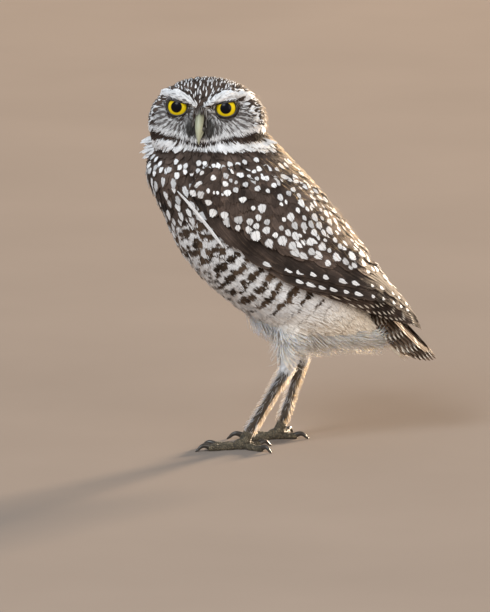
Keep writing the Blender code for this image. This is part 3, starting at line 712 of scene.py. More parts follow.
# Markings of the head, in its own frame: heights of each band for places outward from the middle

BROW_LINE = ((0.0, 1.5, 5.4, 8.2, 12.3, 17.0, 22.0, 27.0), (8.8, 9.6, 12.9, 14.5, 15.8, 16.7, 16.6, 15.4))
BROW_HALF = ((0.0, 1.5, 5.4, 8.2, 12.3, 17.0, 22.0, 27.0), (0.6, 0.8, 1.35, 1.9, 2.2, 2.2, 1.6, 0.6))
CHEEK_LINE = ((0.0, 6.0, 8.3, 14.5, 22.0, 33.0, 38.0), (-11.2, -10.4, -9.5, -6.9, -5.2, -2.2, -1.0))
COLLAR_LINE = ((0.0, 4.0, 14.5, 19.0, 24.0, 30.0, 37.0), (-12.8, -12.0, -9.2, -8.6, -8.3, -7.1, -5.2))
COLLAR_HALF = ((0.0, 4.0, 14.0, 19.0, 24.0, 30.0, 37.0), (0.95, 0.95, 0.9, 1.1, 1.7, 2.4, 2.2))
THROAT_LINE = ((0.0, 12.0, 24.0, 38.0), (-14.0, -13.8, -13.2, -13.0))
THROAT_HALF = ((0.0, 12.0, 24.0, 36.0), (1.9, 2.4, 2.8, 3.2))
CHEEK_HALF = 2.0
# Each band's middle and half height
BANDS = {
    "brow": (BROW_LINE, BROW_HALF),
    "cheek": (CHEEK_LINE, ((0.0,), (CHEEK_HALF,))),
    "collar": (COLLAR_LINE, COLLAR_HALF),
    "throat": (THROAT_LINE, THROAT_HALF),
    "line": (((0.0,), (-16.9,)), ((0.0,), (0.7,))),
}
# The facial disc is an oval with these half axes, whose middle lies a little below the head's.
DISC_WIDE, DISC_HIGH, DISC_DROP = 27.5, 20.0, 1.0


def disc_reach(side, z):
    return np.hypot(side / DISC_WIDE, (z + DISC_DROP) / DISC_HIGH)


def head_zones(h):
    """Shares of each zone of the head at places in the head's frame."""
    x, y, z = h.T
    side = np.abs(x)
    front = eased((y + 7.0) / 6.0)
    zones = {"front": front}
    for key, (middle, half) in BANDS.items():
        zones[key] = front * (np.abs(z - line(middle, side)) < line(half, side))
    below_brow = z < line(BROW_LINE, side) + line(BROW_HALF, side)
    zones["disc"] = front * (disc_reach(side, z) < 1.05) * below_brow * (z > line(CHEEK_LINE, side) - 2.5)
    return zones


def head_way(h):
    """The way that feathers point, in the head's frame."""
    x, y, z = h.T
    side = np.where(x >= 0, 1.0, -1.0)
    zero = np.zeros(len(h))

    def toward(left, forward, up):
        return unit(np.stack([left + zero, forward + zero, up + zero], axis=1))

    over = np.stack([zero, -z, y], axis=1) / np.linalg.norm(h, axis=1)[:, None]
    beside = eased((np.abs(x) - 20.0) / 10.0)[:, None]
    over = over + beside * np.array((0.0, -0.55, -0.45))
    zones = head_zones(h)
    front, brow = zones["front"][:, None], zones["brow"][:, None]
    crown = eased((z - line(BROW_LINE, np.abs(x)) - 1.0) / 2.0)[:, None]
    low = eased((line(CHEEK_LINE, np.abs(x)) + 0.5 - z) / 3.0)[:, None]
    lore = (eased((6.5 - np.abs(x)) / 2.5) * eased((9.0 - z) / 2.0) * eased((z + 9.0) / 3.0))[:, None]
    face = mixed(toward(x - side * 8.0, -0.25, z - 6.5), over, crown)
    face = mixed(face, toward(side, -0.45, 0.25), brow)
    face = mixed(face, toward(x * 0.035, -0.1, -0.75), low)
    face = mixed(face, toward(side * 0.3, 0.25, -1.0), lore)
    down = toward(x * 0.03, -0.1, -1.0)
    return unit(face * front + (over * (1 - 0.7 * low) + down * 0.7 * low) * (1 - front))


def pick(weights, colour, other):
    return mixed(other, colour, np.asarray(weights, float)[:, None])


def head_look(h, streaked=False):
    """Colours and pattern of head feathers by the place that their tips cover."""
    count = len(h)
    x, _, z = h.T
    side = np.abs(x)
    zones = head_zones(h)
    look = look_of(count, BROWN, WHITE, vary=0.16)
    ground, spot = look["ground"], look["spot"]
    dice = CHANCE.random(count)
    if streaked:
        nape = 1 - zones["front"]
        spot[:, 1] = 0.6
        spot[:, 2] = between(0.16, 0.3, count) * (1 + 0.4 * nape)
        spot[:, 3] = between(0.28, 0.46, count) * (1 - 0.45 * nape)
        spot[dice > 0.9 - 0.25 * nape, 2] = 0.0
    disc = zones["disc"] > 0.5
    angle = np.arctan2(z - 8.0, side - 12.0)
    behind = eased((side - 19.5) / 3.0) * eased((z - 1.0) / 4.0)
    streak = np.sin(angle * 28 + drift(0.5, count)) > 0.2 - 0.7 * behind
    face = pick(np.where(streak, 0.85, 0.08), DARK * 1.7, WHITE * between(0.75, 1.08, (count, 1)))
    round_eye = np.hypot(side - EYE_PLACE[0], z - EYE_PLACE[2])
    face = pick((round_eye < 8.6) & (dice < 0.55) & (z < EYE_PLACE[2] + 3.0), DARK * 1.5, face)
    lore = np.exp(-(((side - 5.2) / 4.2) ** 2) - ((z + 3.5) / 7.0) ** 2)
    face = pick(np.clip(lore * 1.25 + drift(0.12, count), 0, 0.97), LORE_GREY, face)
    bridge = eased((3.6 - side) / 1.5) * eased((z - 4.0) / 2.0)
    face = pick(bridge * (dice < 0.6), WHITE * 0.9, face)
    ground[disc] = face[disc]
    spot[disc, 2] = 0.0
    bands = (("brow", WHITE * 1.04, 0.02), ("throat", WHITE, 0.03), ("cheek", WHITE, 0.12),
             ("collar", DARK * 1.3, 0.03), ("line", DARK * 1.6, 0.2))
    for key, colour, noise in bands:
        here = (zones[key] > 0.5) & (dice > noise)
        ground[here] = colour * (1 + drift(0.05, (int(here.sum()), 1)))
        spot[here, 2] = 0.0
    rim = (zones["front"] > 0.5) & (np.abs(disc_reach(side, z) - 1.08) < 0.06) & (z > -2) & (z < 14)
    ground[rim] = pick(dice < 0.5, WHITE * 0.85, BROWN)[rim]
    np.clip(ground, 0, 1, out=ground)
    return look


# Markings of the body: the angle from the back at which the underside begins, by station

BELLY_EDGE = ((0.0, 0.35, 0.52, 0.6, 1.0), (92.0, 92.0, 72.0, 45.0, 35.0))


def body_look(station, angle, dice, marks=None):
    """Colours and pattern of trunk feathers.

    Marks is (flow, length, half) with the distance toward the tail, the feathers' lengths and half widths,
    or None for plain ones.
    """
    count = len(station)
    look = look_of(count, BROWN, WHITE, vary=0.28)
    ground, mark, spot, bars = look["ground"], look["mark"], look["spot"], look["bars"]
    turn = np.abs(angle)
    under = turn > line(BELLY_EDGE, station)
    pale_from = np.interp(turn, (110.0, 145.0, 175.0), (0.235, 0.275, 0.315))
    pale = under & (station + (dice - 0.5) * 0.08 > pale_from)
    number = int(pale.sum())
    ground[pale] = WHITE * 0.95 * (1 + drift(0.05, (number, 1)))
    mark[pale] = WARM_BROWN * between(0.35, 0.95, (number, 1))
    ground[pale] = pick(eased((station - 0.56) / 0.2), CREAM, ground)[pale]
    ground[~under & (station > 0.5)] = BROWN * 1.15
    np.clip(ground, 0, 1, out=ground)
    if marks is None:
        return look
    flow, length, half = marks
    breast = eased((turn - 105.0) / 20.0)
    near_head = eased((0.05 - station) / 0.05)
    wide = between(2.7, 4.1, count) * (1 + 0.05 * breast) * (1 - 0.4 * near_head)
    wide = np.minimum(wide, 1.5 * half)
    tall = wide * (between(1.0, 1.5, count) + 0.25 * breast)
    spot[:, 1] = 0.74
    spot[:, 2] = np.where((dice < 0.88) & ~pale, wide / (4 * half), 0.0)
    spot[:, 3] = tall / (2 * length)
    broad = eased((0.40 - station) / 0.08)
    middle = eased((turn - 148.0) / 10.0) * eased((station - 0.4) / 0.06)
    plain = eased((station - 0.54) / 0.08)
    period = 8.2 + 1.8 * broad
    share = between(0.42, 0.64, count) * (1 - plain) * (1 - 0.25 * middle) + 0.06 * broad
    share = np.where(dice > 0.93, 0.0, share)
    start = (flow / period + drift(0.1, count)) % 1.0
    bars[pale] = np.stack([length / period, start, share, np.full(count, -0.1)], axis=1)[pale]
    crescent = pale & (middle > dice)
    bars[crescent, 0] = 1.0
    bars[crescent, 1] = 0.68 + drift(0.05, int(crescent.sum()))
    bars[crescent, 2] = np.where(dice < 0.6, 0.15, 0.0)[crescent] * (1 - plain)[crescent]
    return look


# Materials


class Value:
    """A number, place or colour in a node tree. Arithmetic on it adds nodes."""

    def __init__(self, shade, socket):
        self.shade, self.socket = shade, socket

    def __add__(self, other):
        return self.shade.math("ADD", self, other)

    def __sub__(self, other):
        return self.shade.math("SUBTRACT", self, other)

    def __mul__(self, other):
        return self.shade.math("MULTIPLY", self, other)

    def __truediv__(self, other):
        return self.shade.math("DIVIDE", self, other)

    def __abs__(self):
        return self.shade.math("ABSOLUTE", self)


class Shade:
    """A material's node tree and short helpers for it."""

    def __init__(self, name, constants=()):
        self.material = bpy.data.materials.new(name)
        self.material.use_nodes = True
        self.tree = self.material.node_tree
        self.shader = self.tree.nodes["Principled BSDF"]
        for key, value in dict(constants).items():
            self.shader.inputs[key].default_value = value

    def put(self, socket, value):
        if isinstance(value, Value):
            self.tree.links.new(value.socket, socket)
        else:
            socket.default_value = value

    def node(self, kind, inputs=(), **settings):
        made = self.tree.nodes.new(kind)
        for key, value in settings.items():
            setattr(made, key, value)
        for key, value in dict(inputs).items():
            self.put(made.inputs[key], value)
        return [Value(self, socket) for socket in made.outputs]

    def math(self, operation, a, b=0.0):
        return self.node("ShaderNodeMath", {0: a, 1: b}, operation=operation)[0]

    def most(self, a, b):
        return self.math("MAXIMUM", a, b)

    def length(self, x, y):
        return self.math("SQRT", x * x + y * y)

    def ramp(self, value, low, high, to_low=0.0, to_high=1.0):
        inputs = {0: value, 1: low, 2: high, 3: to_low, 4: to_high}
        return self.node("ShaderNodeMapRange", inputs, interpolation_type="SMOOTHSTEP")[0]

    def mix(self, share, a, b):
        """A colour between two, each a value or three numbers."""
        a, b = (c if isinstance(c, Value) else (*[float(part) for part in c], 1.0) for c in (a, b))
        return self.node("ShaderNodeMix", {0: share, 6: a, 7: b}, data_type="RGBA")[2]

    def scaled(self, colour, share):
        grey = self.node("ShaderNodeCombineColor", {0: share, 1: share, 2: share})[0]
        inputs = {0: 1.0, 6: colour, 7: grey}
        return self.node("ShaderNodeMix", inputs, data_type="RGBA", blend_type="MULTIPLY")[2]

    def noise(self, vector, scale, detail=2.0, roughness=0.5):
        inputs = {"Vector": vector, "Scale": scale, "Detail": detail, "Roughness": roughness}
        return self.node("ShaderNodeTexNoise", inputs)[0]

    def together(self, x, y):
        return self.node("ShaderNodeCombineXYZ", {0: x, 1: y})[0]

    def place(self):
        return Value(self, self.tree.nodes.new("ShaderNodeTexCoord").outputs["Object"])

    def on_map(self, name):
        """The two places on a map."""
        return self.node("ShaderNodeSeparateXYZ", {0: self.node("ShaderNodeUVMap", uv_map=name)[0]})[:2]

    def carried(self, key):
        """The colour that the points carry."""
        return self.node("ShaderNodeAttribute", attribute_name=key)[0]

    def four_carried(self, key):
        """The four numbers that the points carry."""
        colour, _, _, alpha = self.node("ShaderNodeAttribute", attribute_name=key)
        return (*self.node("ShaderNodeSeparateColor", {0: colour}), alpha)

    def finish(self, colour, roughness, height=None, strength=0.3, distance=0.0003):
        self.put(self.shader.inputs["Base Color"], colour)
        self.put(self.shader.inputs["Roughness"], roughness)
        if height is not None:
            inputs = {"Height": height, "Strength": strength, "Distance": distance}
            self.put(self.shader.inputs["Normal"], self.node("ShaderNodeBump", inputs)[0])
        return self.material


def feather_material(name, softness=0.5, barbs=34.0, blur=0.035, glow=0.0):
    """A vane with barbs, a shaft, and the spots or bars that its points carry.

    Glow is the share of light that it lets in.
    """
    shade = Shade(name, {
        "Subsurface Weight": glow,
        "Subsurface Radius": (1.0, 0.75, 0.5),
        "Subsurface Scale": 0.8 * MM,
        "Sheen Weight": 0.03,
        "Sheen Roughness": 0.5,
        "Specular IOR Level": 0.1,
    })
    u, v = shade.on_map("vane")
    place = shade.place()
    spot_side, spot_place, spot_half, spot_length = shade.four_carried("spot")
    bar_count, bar_start, bar_share, bar_side = shade.four_carried("bars")
    from_shaft = abs(u - 0.5)
    wobble = shade.noise(place, 900.0, 2.0) - 0.5

    # Spots and bars
    aside = (from_shaft - spot_side) / shade.most(spot_half, 0.001)
    along = (v - spot_place) / shade.most(spot_length, 0.001)
    in_spot = shade.ramp(shade.length(aside, along) + wobble * softness, 1.12, 0.86)
    in_spot = in_spot * shade.ramp(spot_half, 0.001, 0.01)
    phase = (v - from_shaft * from_shaft * 0.33) * bar_count + bar_start + wobble * (softness * 0.35)
    wave = abs(shade.math("FRACT", phase) - 0.5)
    in_bar = shade.ramp(wave - bar_share * 0.5, blur, -blur) * shade.ramp(bar_count, 0.0, 0.2)
    in_bar = in_bar * shade.ramp(from_shaft - bar_side, -0.03, 0.03)
    marked = shade.most(in_spot, in_bar)
    colour = shade.mix(marked, shade.carried("ground"), shade.carried("mark"))

    # Barbs, clouded tone, worn edges, the shaft, and painted shade toward each vane's root
    barb_place = shade.together((v - from_shaft * 0.55) * barbs, u * 2.0)
    barb_place = shade.node("ShaderNodeVectorMath", {0: barb_place, 1: place}, operation="ADD")[0]
    fibre = shade.noise(barb_place, 2.2, 3.0, 0.65)
    cloud = shade.noise(place, 260.0, 3.0, 0.6)
    patch = shade.noise(place, 75.0, 2.0, 0.5)
    shaft = shade.ramp(from_shaft, 0.035, 0.008)
    darkness = shade.ramp(shade.node("ShaderNodeRGBToBW", {0: colour})[0], 0.3, 0.05)
    lightness = fibre * shade.ramp(marked, 0.0, 1.0, 1.4, 0.7) + shade.ramp(marked, 0.0, 1.0, 0.3, 0.65)
    lightness = lightness * (cloud * 0.5 + 0.75) * ((patch - 0.5) * darkness * 2.6 + 1.0)
    # Painted shade: each vane darkens toward its root, where the feathers lying over it shade it.
    lightness = lightness * (shade.ramp(v, 0.35, 0.0) * -0.25 + 1.0) * (shaft * -0.3 + 1.0)
    edge = shade.most(shade.ramp(from_shaft, 0.36, 0.5), shade.ramp(v, 0.88, 1.0))
    worn = edge * darkness * shade.ramp(cloud, 0.3, 0.7) * 0.45
    colour = shade.scaled(shade.mix(worn, colour, WORN_BROWN), lightness)
    return shade.finish(colour, fibre * 0.25 + 0.55, fibre + shaft * 0.8, 0.55, 0.0002)


def skin_material():
    """Down between the feathers: the coat's colours, darkened by fluff texture and painted shade."""
    shade = Shade("down")
    place = shade.place()
    fluff = shade.noise(place, 1500.0, 4.0, 0.7)
    # The darkening is partly the down's fluff and partly painted shade in the gaps between feathers.
    lightness = fluff * 0.5 + shade.noise(place, 300.0, 2.0) * 0.2 + 0.45
    return shade.finish(shade.scaled(shade.carried("ground"), lightness), 0.85, fluff, 0.7, 0.0006)


def eye_material():
    """Black pupil, yellow iris with rays, dark rim and the upper lid's painted shadow, under a clear coat."""
    shade = Shade("eye", {
        "Coat Weight": 0.25,
        "Coat Roughness": 0.04,
        "Coat IOR": 1.38,
        "Specular IOR Level": 0.05,
    })
    x, y = (part - 0.5 for part in shade.on_map("iris"))
    reach = shade.length(x, y) * (2 * EYE_RADIUS)
    rays = shade.noise(shade.together(shade.math("ARCTAN2", y, x) * 9.0, reach), 1.6, 4.0, 0.7)
    cloud = shade.noise(shade.place(), 700.0, 3.0)
    inner = shade.ramp(reach, PUPIL_RADIUS + 0.9, PUPIL_RADIUS + 0.1)
    colour = shade.mix(rays, IRIS_DEEP, IRIS_BRIGHT)
    for share, other in (
        (cloud * 0.3, IRIS_CLOUD),
        (inner * 0.5, IRIS_INNER),
        # Painted shadow of the upper lid over the iris's top
        (shade.ramp(y, 0.13, 0.25, 0.0, 0.85), LID_PAINTED_SHADOW),
        (shade.ramp(reach, IRIS_RADIUS - 0.75, IRIS_RADIUS - 0.05), IRIS_RIM),
        (shade.ramp(reach, PUPIL_RADIUS + 0.1, PUPIL_RADIUS - 0.08), PUPIL_BLACK),
    ):
        colour = shade.mix(share, colour, other)
    return shade.finish(colour, 0.35, rays, 0.15, 0.0001)


def bill_material():
    """Horn in pale grey-green, darker toward the base and duller at the tip."""
    shade = Shade("bill_horn")
    turn, along = shade.on_map("along")
    grain = shade.noise(shade.together(turn * 26.0, along * 5.0), 2.0, 4.0, 0.6)
    cloud = shade.noise(shade.place(), 420.0, 3.0)
    colour = shade.mix(grain, *HORN_COLOURS)
    colour = shade.mix(shade.ramp(along, 0.55, 0.1), colour, HORN_BASE)
    colour = shade.mix(cloud * 0.35, colour, HORN_CLOUD)
    colour = shade.mix(shade.ramp(along, 0.93, 1.0), colour, HORN_TIP)
    return shade.finish(colour, grain * 0.25 + 0.28, grain, 0.12, 0.0002)


def toe_material():
    """Scaly skin, olive brown, paler on the raised scales."""
    shade = Shade("toe_skin")
    place = shade.place()
    cells = shade.node("ShaderNodeTexVoronoi", {"Vector": place, "Scale": 900.0}, feature="DISTANCE_TO_EDGE")
    scale_edge = shade.ramp(cells[0], 0.0, 0.16)
    cloud = shade.noise(place, 420.0, 5.0, 0.7)
    fine = shade.noise(place, 2600.0, 3.0)
    colour = shade.mix(shade.ramp(cloud, 0.35, 0.68), *TOE_COLOURS)
    colour = shade.mix(shade.ramp(scale_edge, 1.0, 0.0), colour, TOE_CREASE)
    colour = shade.mix(fine * 0.2, colour, TOE_PALE)
    return shade.finish(colour, fine * 0.3 + 0.45, scale_edge + cloud * 1.2, 0.8, 0.0006)


def grained_material(name, scale, detail, colours, roughness, strength):
    """Fine grain between two colours. Roughness is (at the dark, added at the pale)."""
    shade = Shade(name)
    grain = shade.noise(shade.place(), scale, detail, 0.6)
    low, added = roughness
    rough = grain * added + low if added else low
    return shade.finish(shade.mix(grain, *colours), rough, grain, strength, 0.0002)


def stage_material():
    shade = Shade("stage", {"Specular IOR Level": 0.0})
    cloud = shade.noise(shade.place(), 6.0, 3.0)
    return shade.finish(shade.mix(cloud, *FLOOR_COLOURS), 0.9)


# Eyes and lids


def eye_axis(side):
    return unit(HEAD_FORWARD * math.cos(EYE_TURN_OUT) + HEAD_LEFT * (side * math.sin(EYE_TURN_OUT)))


def eye_centre(side):
    return head_to_world(eye_place(side))


CORNEA_BULGE = 0.32
CORNEA_SPREAD = 0.72
EYE_RINGS, EYE_SIDES = 40, 56
POLE_GAP = 0.004


def make_eye(side, name, material):
    """An eyeball with a bulging cornea. Its map gives places on the iris as seen from the front."""
    axis, centre = eye_axis(side), eye_centre(side)
    right = unit(np.cross(axis, (0.0, 0.0, 1.0)))
    up = np.cross(right, axis)
    points, flat = [], []
    for k in range(EYE_RINGS + 1):
        polar = min(max(math.pi * k / EYE_RINGS, POLE_GAP), math.pi - POLE_GAP)
        bulge = CORNEA_BULGE * math.exp(-((polar / CORNEA_SPREAD) ** 4))
        radius = EYE_RADIUS + bulge - CORNEA_BULGE
        for turn in turns_of(EYE_SIDES):
            out = right * math.cos(turn) + up * math.sin(turn)
            points.append(centre + (axis * math.cos(polar) + out * math.sin(polar)) * radius)
            spread = 0.5 * math.sin(polar) if polar < math.pi / 2 else 1.0 - 0.5 * math.sin(polar)
            flat.append((0.5 + spread * math.cos(turn), 0.5 + spread * math.sin(turn)))
    made = closed_mesh(f"{name}_eye_ball", points, ring_faces(EYE_RINGS + 1, EYE_SIDES))
    lay_map(made.data, "iris", flat)
    dressed(made, material, f"{name}_eye")


LID_HALF_WIDTH = 5.85
LID_LOWER = 4.75
LID_CHORD = 2.75
LID_SLOPE = math.radians(102.0)
LID_OUTER = math.radians(80.0)
LID_COAT_OUTER = math.radians(84.0)
# The lids' section, from the opening out and back: share of the way to the outer edge, height over the ball.
LID_PROFILE = ((0.0, 0.02), (0.015, 0.36), (0.05, 0.5), (0.1, 0.42), (0.3, 0.3), (1.0, 0.25), (1.0, -0.5),
               (0.3, -0.4), (0.05, -0.2))


def lid_opening(turn):
    """How far the opening reaches from the eye's middle. Turn is 0 outward and a right angle upward.

    The upper lid cuts the eye along a chord that slopes down toward the bill.
    """
    turn = np.asarray(turn, float)
    round_part = 1.0 / np.hypot(np.cos(turn) / LID_HALF_WIDTH, np.sin(turn) / LID_LOWER)
    round_part = np.where(np.sin(turn) > 0, LID_HALF_WIDTH, round_part)
    facing = np.cos(turn - LID_SLOPE)
    chord = np.where(facing > 0.05, LID_CHORD / np.maximum(facing, 0.05), 99.0)
    return np.minimum(round_part, chord)


def on_lid(side, turn, polar, height):
    """Places over the eyeball: turn round its axis, polar angle from it, and height over the ball."""
    axis = eye_axis(side)
    outward = unit(HEAD_LEFT * side - axis * float(HEAD_LEFT @ axis) * side)
    upward = unit(HEAD_UP - axis * float(HEAD_UP @ axis) - outward * float(HEAD_UP @ outward))
    out = outward * np.cos(turn)[..., None] + upward * np.sin(turn)[..., None]
    way = axis * np.cos(polar)[..., None] + out * np.sin(polar)[..., None]
    return eye_centre(side) + way * (EYE_RADIUS + height)[..., None], way


def make_lids(side, name, material):
    """The lids as a thin shell on the eyeball, with a raised dark rim round the opening."""
    turns = np.linspace(0, 2 * math.pi, 80, endpoint=False)
    inner = np.arcsin(lid_opening(turns) / (EYE_RADIUS + 0.1))
    rows = []
    for share, height in LID_PROFILE:
        polar = inner + (LID_OUTER - inner) * share
        rows.append(on_lid(side, turns, polar, np.full(len(turns), height))[0])
    rows = np.stack(rows, axis=1)
    rounds, sides = rows.shape[:2]
    faces = []
    for k, j in itertools.product(range(rounds), range(sides)):
        here, after = k * sides, (k + 1) % rounds * sides
        faces.append((here + j, here + (j + 1) % sides, after + (j + 1) % sides, after + j))
    dressed(closed_mesh(f"{name}_lids", rows.reshape(-1, 3), faces), material, degrees=55.0)


def lid_ground(side):
    """Places on the lids where small feathers grow, outside the bare rim."""
    turns, shares = grid(np.linspace(0, 2 * math.pi, 60, endpoint=False), evenly(9))
    inner = np.arcsin(np.minimum((lid_opening(turns) + 1.0) / (EYE_RADIUS + 0.1), 0.97))
    polar = inner + (LID_COAT_OUTER - inner) * shares
    point, way = on_lid(side, turns, polar, np.full(turns.shape, 0.25))
    return point.reshape(-1, 3), way.reshape(-1, 3)


# Bill: each row is (forward, up, half width, half height) in the head's frame

UPPER_BILL = (
    (20.0, 6.0, 2.5, 4.2),
    (25.5, 5.2, 2.6, 4.0),
    (29.2, 2.9, 2.5, 3.3),
    (31.2, -0.6, 2.3, 2.7),
    (32.0, -4.2, 1.85, 2.1),
    (31.9, -7.6, 1.25, 1.4),
    (31.3, -10.2, 0.65, 0.7),
    (30.9, -11.6, 0.2, 0.2),
)
LOWER_BILL = (
    (20.0, -2.6, 2.2, 1.6),
    (24.5, -4.0, 2.2, 1.6),
    (27.4, -6.0, 1.7, 1.2),
    (29.0, -8.2, 0.9, 0.7),
    (29.6, -9.4, 0.3, 0.3),
)
BILL_RINGS = BILL_SIDES = 40


def make_bill(node, stations, material):
    """One half of the bill, smooth, with a sharper ridge on top and a drawn-in edge along the mouth."""
    rows = through_rows(np.array(stations), evenly(BILL_RINGS))
    points, flat = [], []
    for k, (ahead, rise, wide, high) in enumerate(rows):
        before, after = rows[max(k - 1, 0)], rows[min(k + 1, len(rows) - 1)]
        run = unit(after[:2] - before[:2])
        for j, turn in enumerate(turns_of(BILL_SIDES)):
            out = math.sin(turn)
            ridge = 1.0 - 0.16 * abs(math.cos(turn)) * max(out, 0.0)
            across = math.cos(turn) * wide * (1.0 - 0.12 * max(out, 0.0) ** 2) * ridge
            points.append(head_to_world((across, ahead - run[1] * out * high, rise + run[0] * out * high)))
            flat.append((j / BILL_SIDES, k / (BILL_RINGS - 1)))
    made = closed_mesh(f"{node}_horn", points, ring_faces(BILL_RINGS, BILL_SIDES))
    lay_map(made.data, "along", flat)
    dressed(made, material, node)


# Legs: hip, heel, ankle and the middle of the sole

LEGS = {
    "left": ((14.0, 19.0, 80.0), (13.5, 14.0, 47.0), (13.0, -9.5, 8.6), (13.0, -12.8, 0.0)),
    "right": ((-14.0, 21.0, 78.0), (-13.5, 29.5, 50.5), (-13.0, 16.0, 8.6), (-13.0, 12.8, 0.0)),
}
# Toes: name, heading outward in degrees, length to the claw, radius and the claw's length.
TOES = (
    ("inner", -20.0, 17.0, 2.5, 9.5),
    ("middle", 8.0, 21.0, 2.6, 10.0),
    ("outer", 128.0, 15.5, 2.3, 8.5),
    ("hind", 196.0, 12.0, 2.3, 9.0),
)
# A toe's outline: share of its length, height of its middle and half width, both as shares of its radius.
TOE_OUTLINE = ((0.0, 0.80, 1.10), (0.24, 0.70, 0.90), (0.46, 0.76, 0.96), (0.66, 0.66, 0.80),
               (0.84, 0.72, 0.88), (1.0, 0.86, 0.66))
# The sole's pad: place along the foot, height and radius.
PAD_OUTLINE = ((4.6, 2.0, 1.6), (3.4, 2.2, 3.0), (0.0, 2.3, 3.9), (-3.4, 2.2, 3.1), (-4.8, 2.0, 1.6))
CLAW_BEND = math.radians(74.0)
CLAW_REACH, CLAW_ARCH, CLAW_DROP = 0.86, 1.15, 1.04
CLAW_RADIUS, CLAW_POINT = 1.4, 0.12
CLAW_SIDES = 20


def scaly(rows, rings, sides, scales, depth):
    """Points and faces of a tube through rows of (x, y, z, radius), with scales across its upper side."""
    steps = evenly(rings)
    fine = through_rows(np.asarray(rows, float), steps)

    def reach(k, turn):
        ridge = abs(math.sin(math.pi * steps[k] * scales)) ** 0.5
        lobes = 0.07 * math.sin(steps[k] * 7 * math.pi) * max(-math.sin(turn + 0.5), 0.0)
        lobes += 0.035 * math.sin(3 * turn + 19 * steps[k]) * math.sin(31 * steps[k] + 2 * turn)
        upper = max(math.sin(turn), 0.0)
        return fine[k, 3] * (1.0 - depth * (1 - ridge) * (0.35 + 0.65 * upper) + lobes)

    return swept(fine[:, :3], sides, reach), ring_faces(rings, sides)


def make_claw(name, start, ahead, length, toe_radius, material):
    shares = np.arange(26) / 25
    path = []
    for share in shares:
        reach = length * CLAW_REACH * math.sin(share * CLAW_BEND) / math.sin(CLAW_BEND)
        rise = CLAW_ARCH * math.sin(math.pi * min(share * 1.5, 1.0)) - CLAW_DROP * share**2 * toe_radius
        path.append(start + ahead * reach + above(rise + 0.2))
    radii = CLAW_RADIUS * (1 - shares) ** 0.75 + CLAW_POINT
    points = swept(path, CLAW_SIDES, lambda k, turn: radii[k], 1.12)
    claw = closed_mesh(f"{name}_talon", points, ring_faces(len(path), CLAW_SIDES))
    dressed(claw, material, f"{name}_claw")


def make_foot(name, side, toe_shade, claw_shade):
    """The foot's pad and toes as one piece that replaces its node, and the claws."""
    ankle, sole = (np.array(p) + DESIGN_SHIFT for p in LEGS[name][2:])
    pad = [(*(sole + np.array((0.0, y, z))), r) for y, z, r in PAD_OUTLINE]
    top = [(*(ankle + (ankle - sole) * 0.12), 2.9), (*ankle, 3.1), (*(sole + (ankle - sole) * 0.5), 3.5),
           (*(sole + above(2.2)), 3.6)]
    parts = [scaly(pad, 20, 24, 5, 0.06), scaly(top, 22, 24, 7, 0.08)]
    for toe_name, heading, length, radius, claw_length in TOES:
        turn = math.radians(heading)
        ahead = np.array((side * math.sin(turn), -math.cos(turn), 0.0))
        rows = []
        for share, height, wide in TOE_OUTLINE:
            rows.append((*(sole + ahead * (length * share) + above(radius * height)), radius * wide))
        parts.append(scaly(rows, 64, 22, 11 if length > 16 else 8, 0.17))
        start = np.array(rows[-1][:3]) - ahead * 0.8
        make_claw(f"{name}_{toe_name}", start, ahead, claw_length, radius, claw_shade)
    points, faces = [], []
    for part_points, part_faces in parts:
        faces += [tuple(i + len(points) for i in face) for face in part_faces]
        points += part_points
    dressed(closed_mesh(f"{name}_scaly_foot", points, faces), toe_shade, f"{name}_foot")


# Coats of the head and trunk


def coat_skin(skin, places, trunk):
    """Gives the skin the coat's ground colours, point by point."""
    h = world_to_head(places)
    station, angle, _ = trunk.at(places)
    on_head = on_head_share(h) > 0.5
    ground = body_look(station, angle, np.full(len(places), 0.4))["ground"]
    ground[on_head] = head_look(h[on_head])["ground"]
    ground[places[:, 2] < LEG_TOP] = LEG_SKIN
    paint(skin.data, "ground", ground)
    skin.data.materials.clear()
    skin.data.materials.append(skin_material())


def on_head_share(h):
    """1 where places belong to the head's coat, 0 where they belong to the body's."""
    limit = mixed(-13.0, -17.5, eased((h[:, 1] + 7.0) / 6.0))
    return eased((h[:, 2] - limit) / 0.8 + 0.5)


# Round the eye: free room over the ball, and the reach of the bare lids from its axis.
EYE_ROOM, BARE_REACH = 0.15, 5.0


def near_bare(h):
    """True behind the lids and under the bill, where no feather grows."""
    x, y, z = h.T
    bare = (np.abs(x) < 2.5) & (y > 18) & (z < 3.6) & (z > -9.5)
    for side, _ in SIDES:
        axis = eye_axis(side) @ HEAD_AXES.T
        off = h - eye_place(side)
        along = off @ axis
        reach = np.linalg.norm(off - along[:, None] * axis, axis=1)
        bare |= (np.linalg.norm(off, axis=1) < EYE_RADIUS + EYE_ROOM) | ((reach < BARE_REACH) & (along > 0))
    return bare


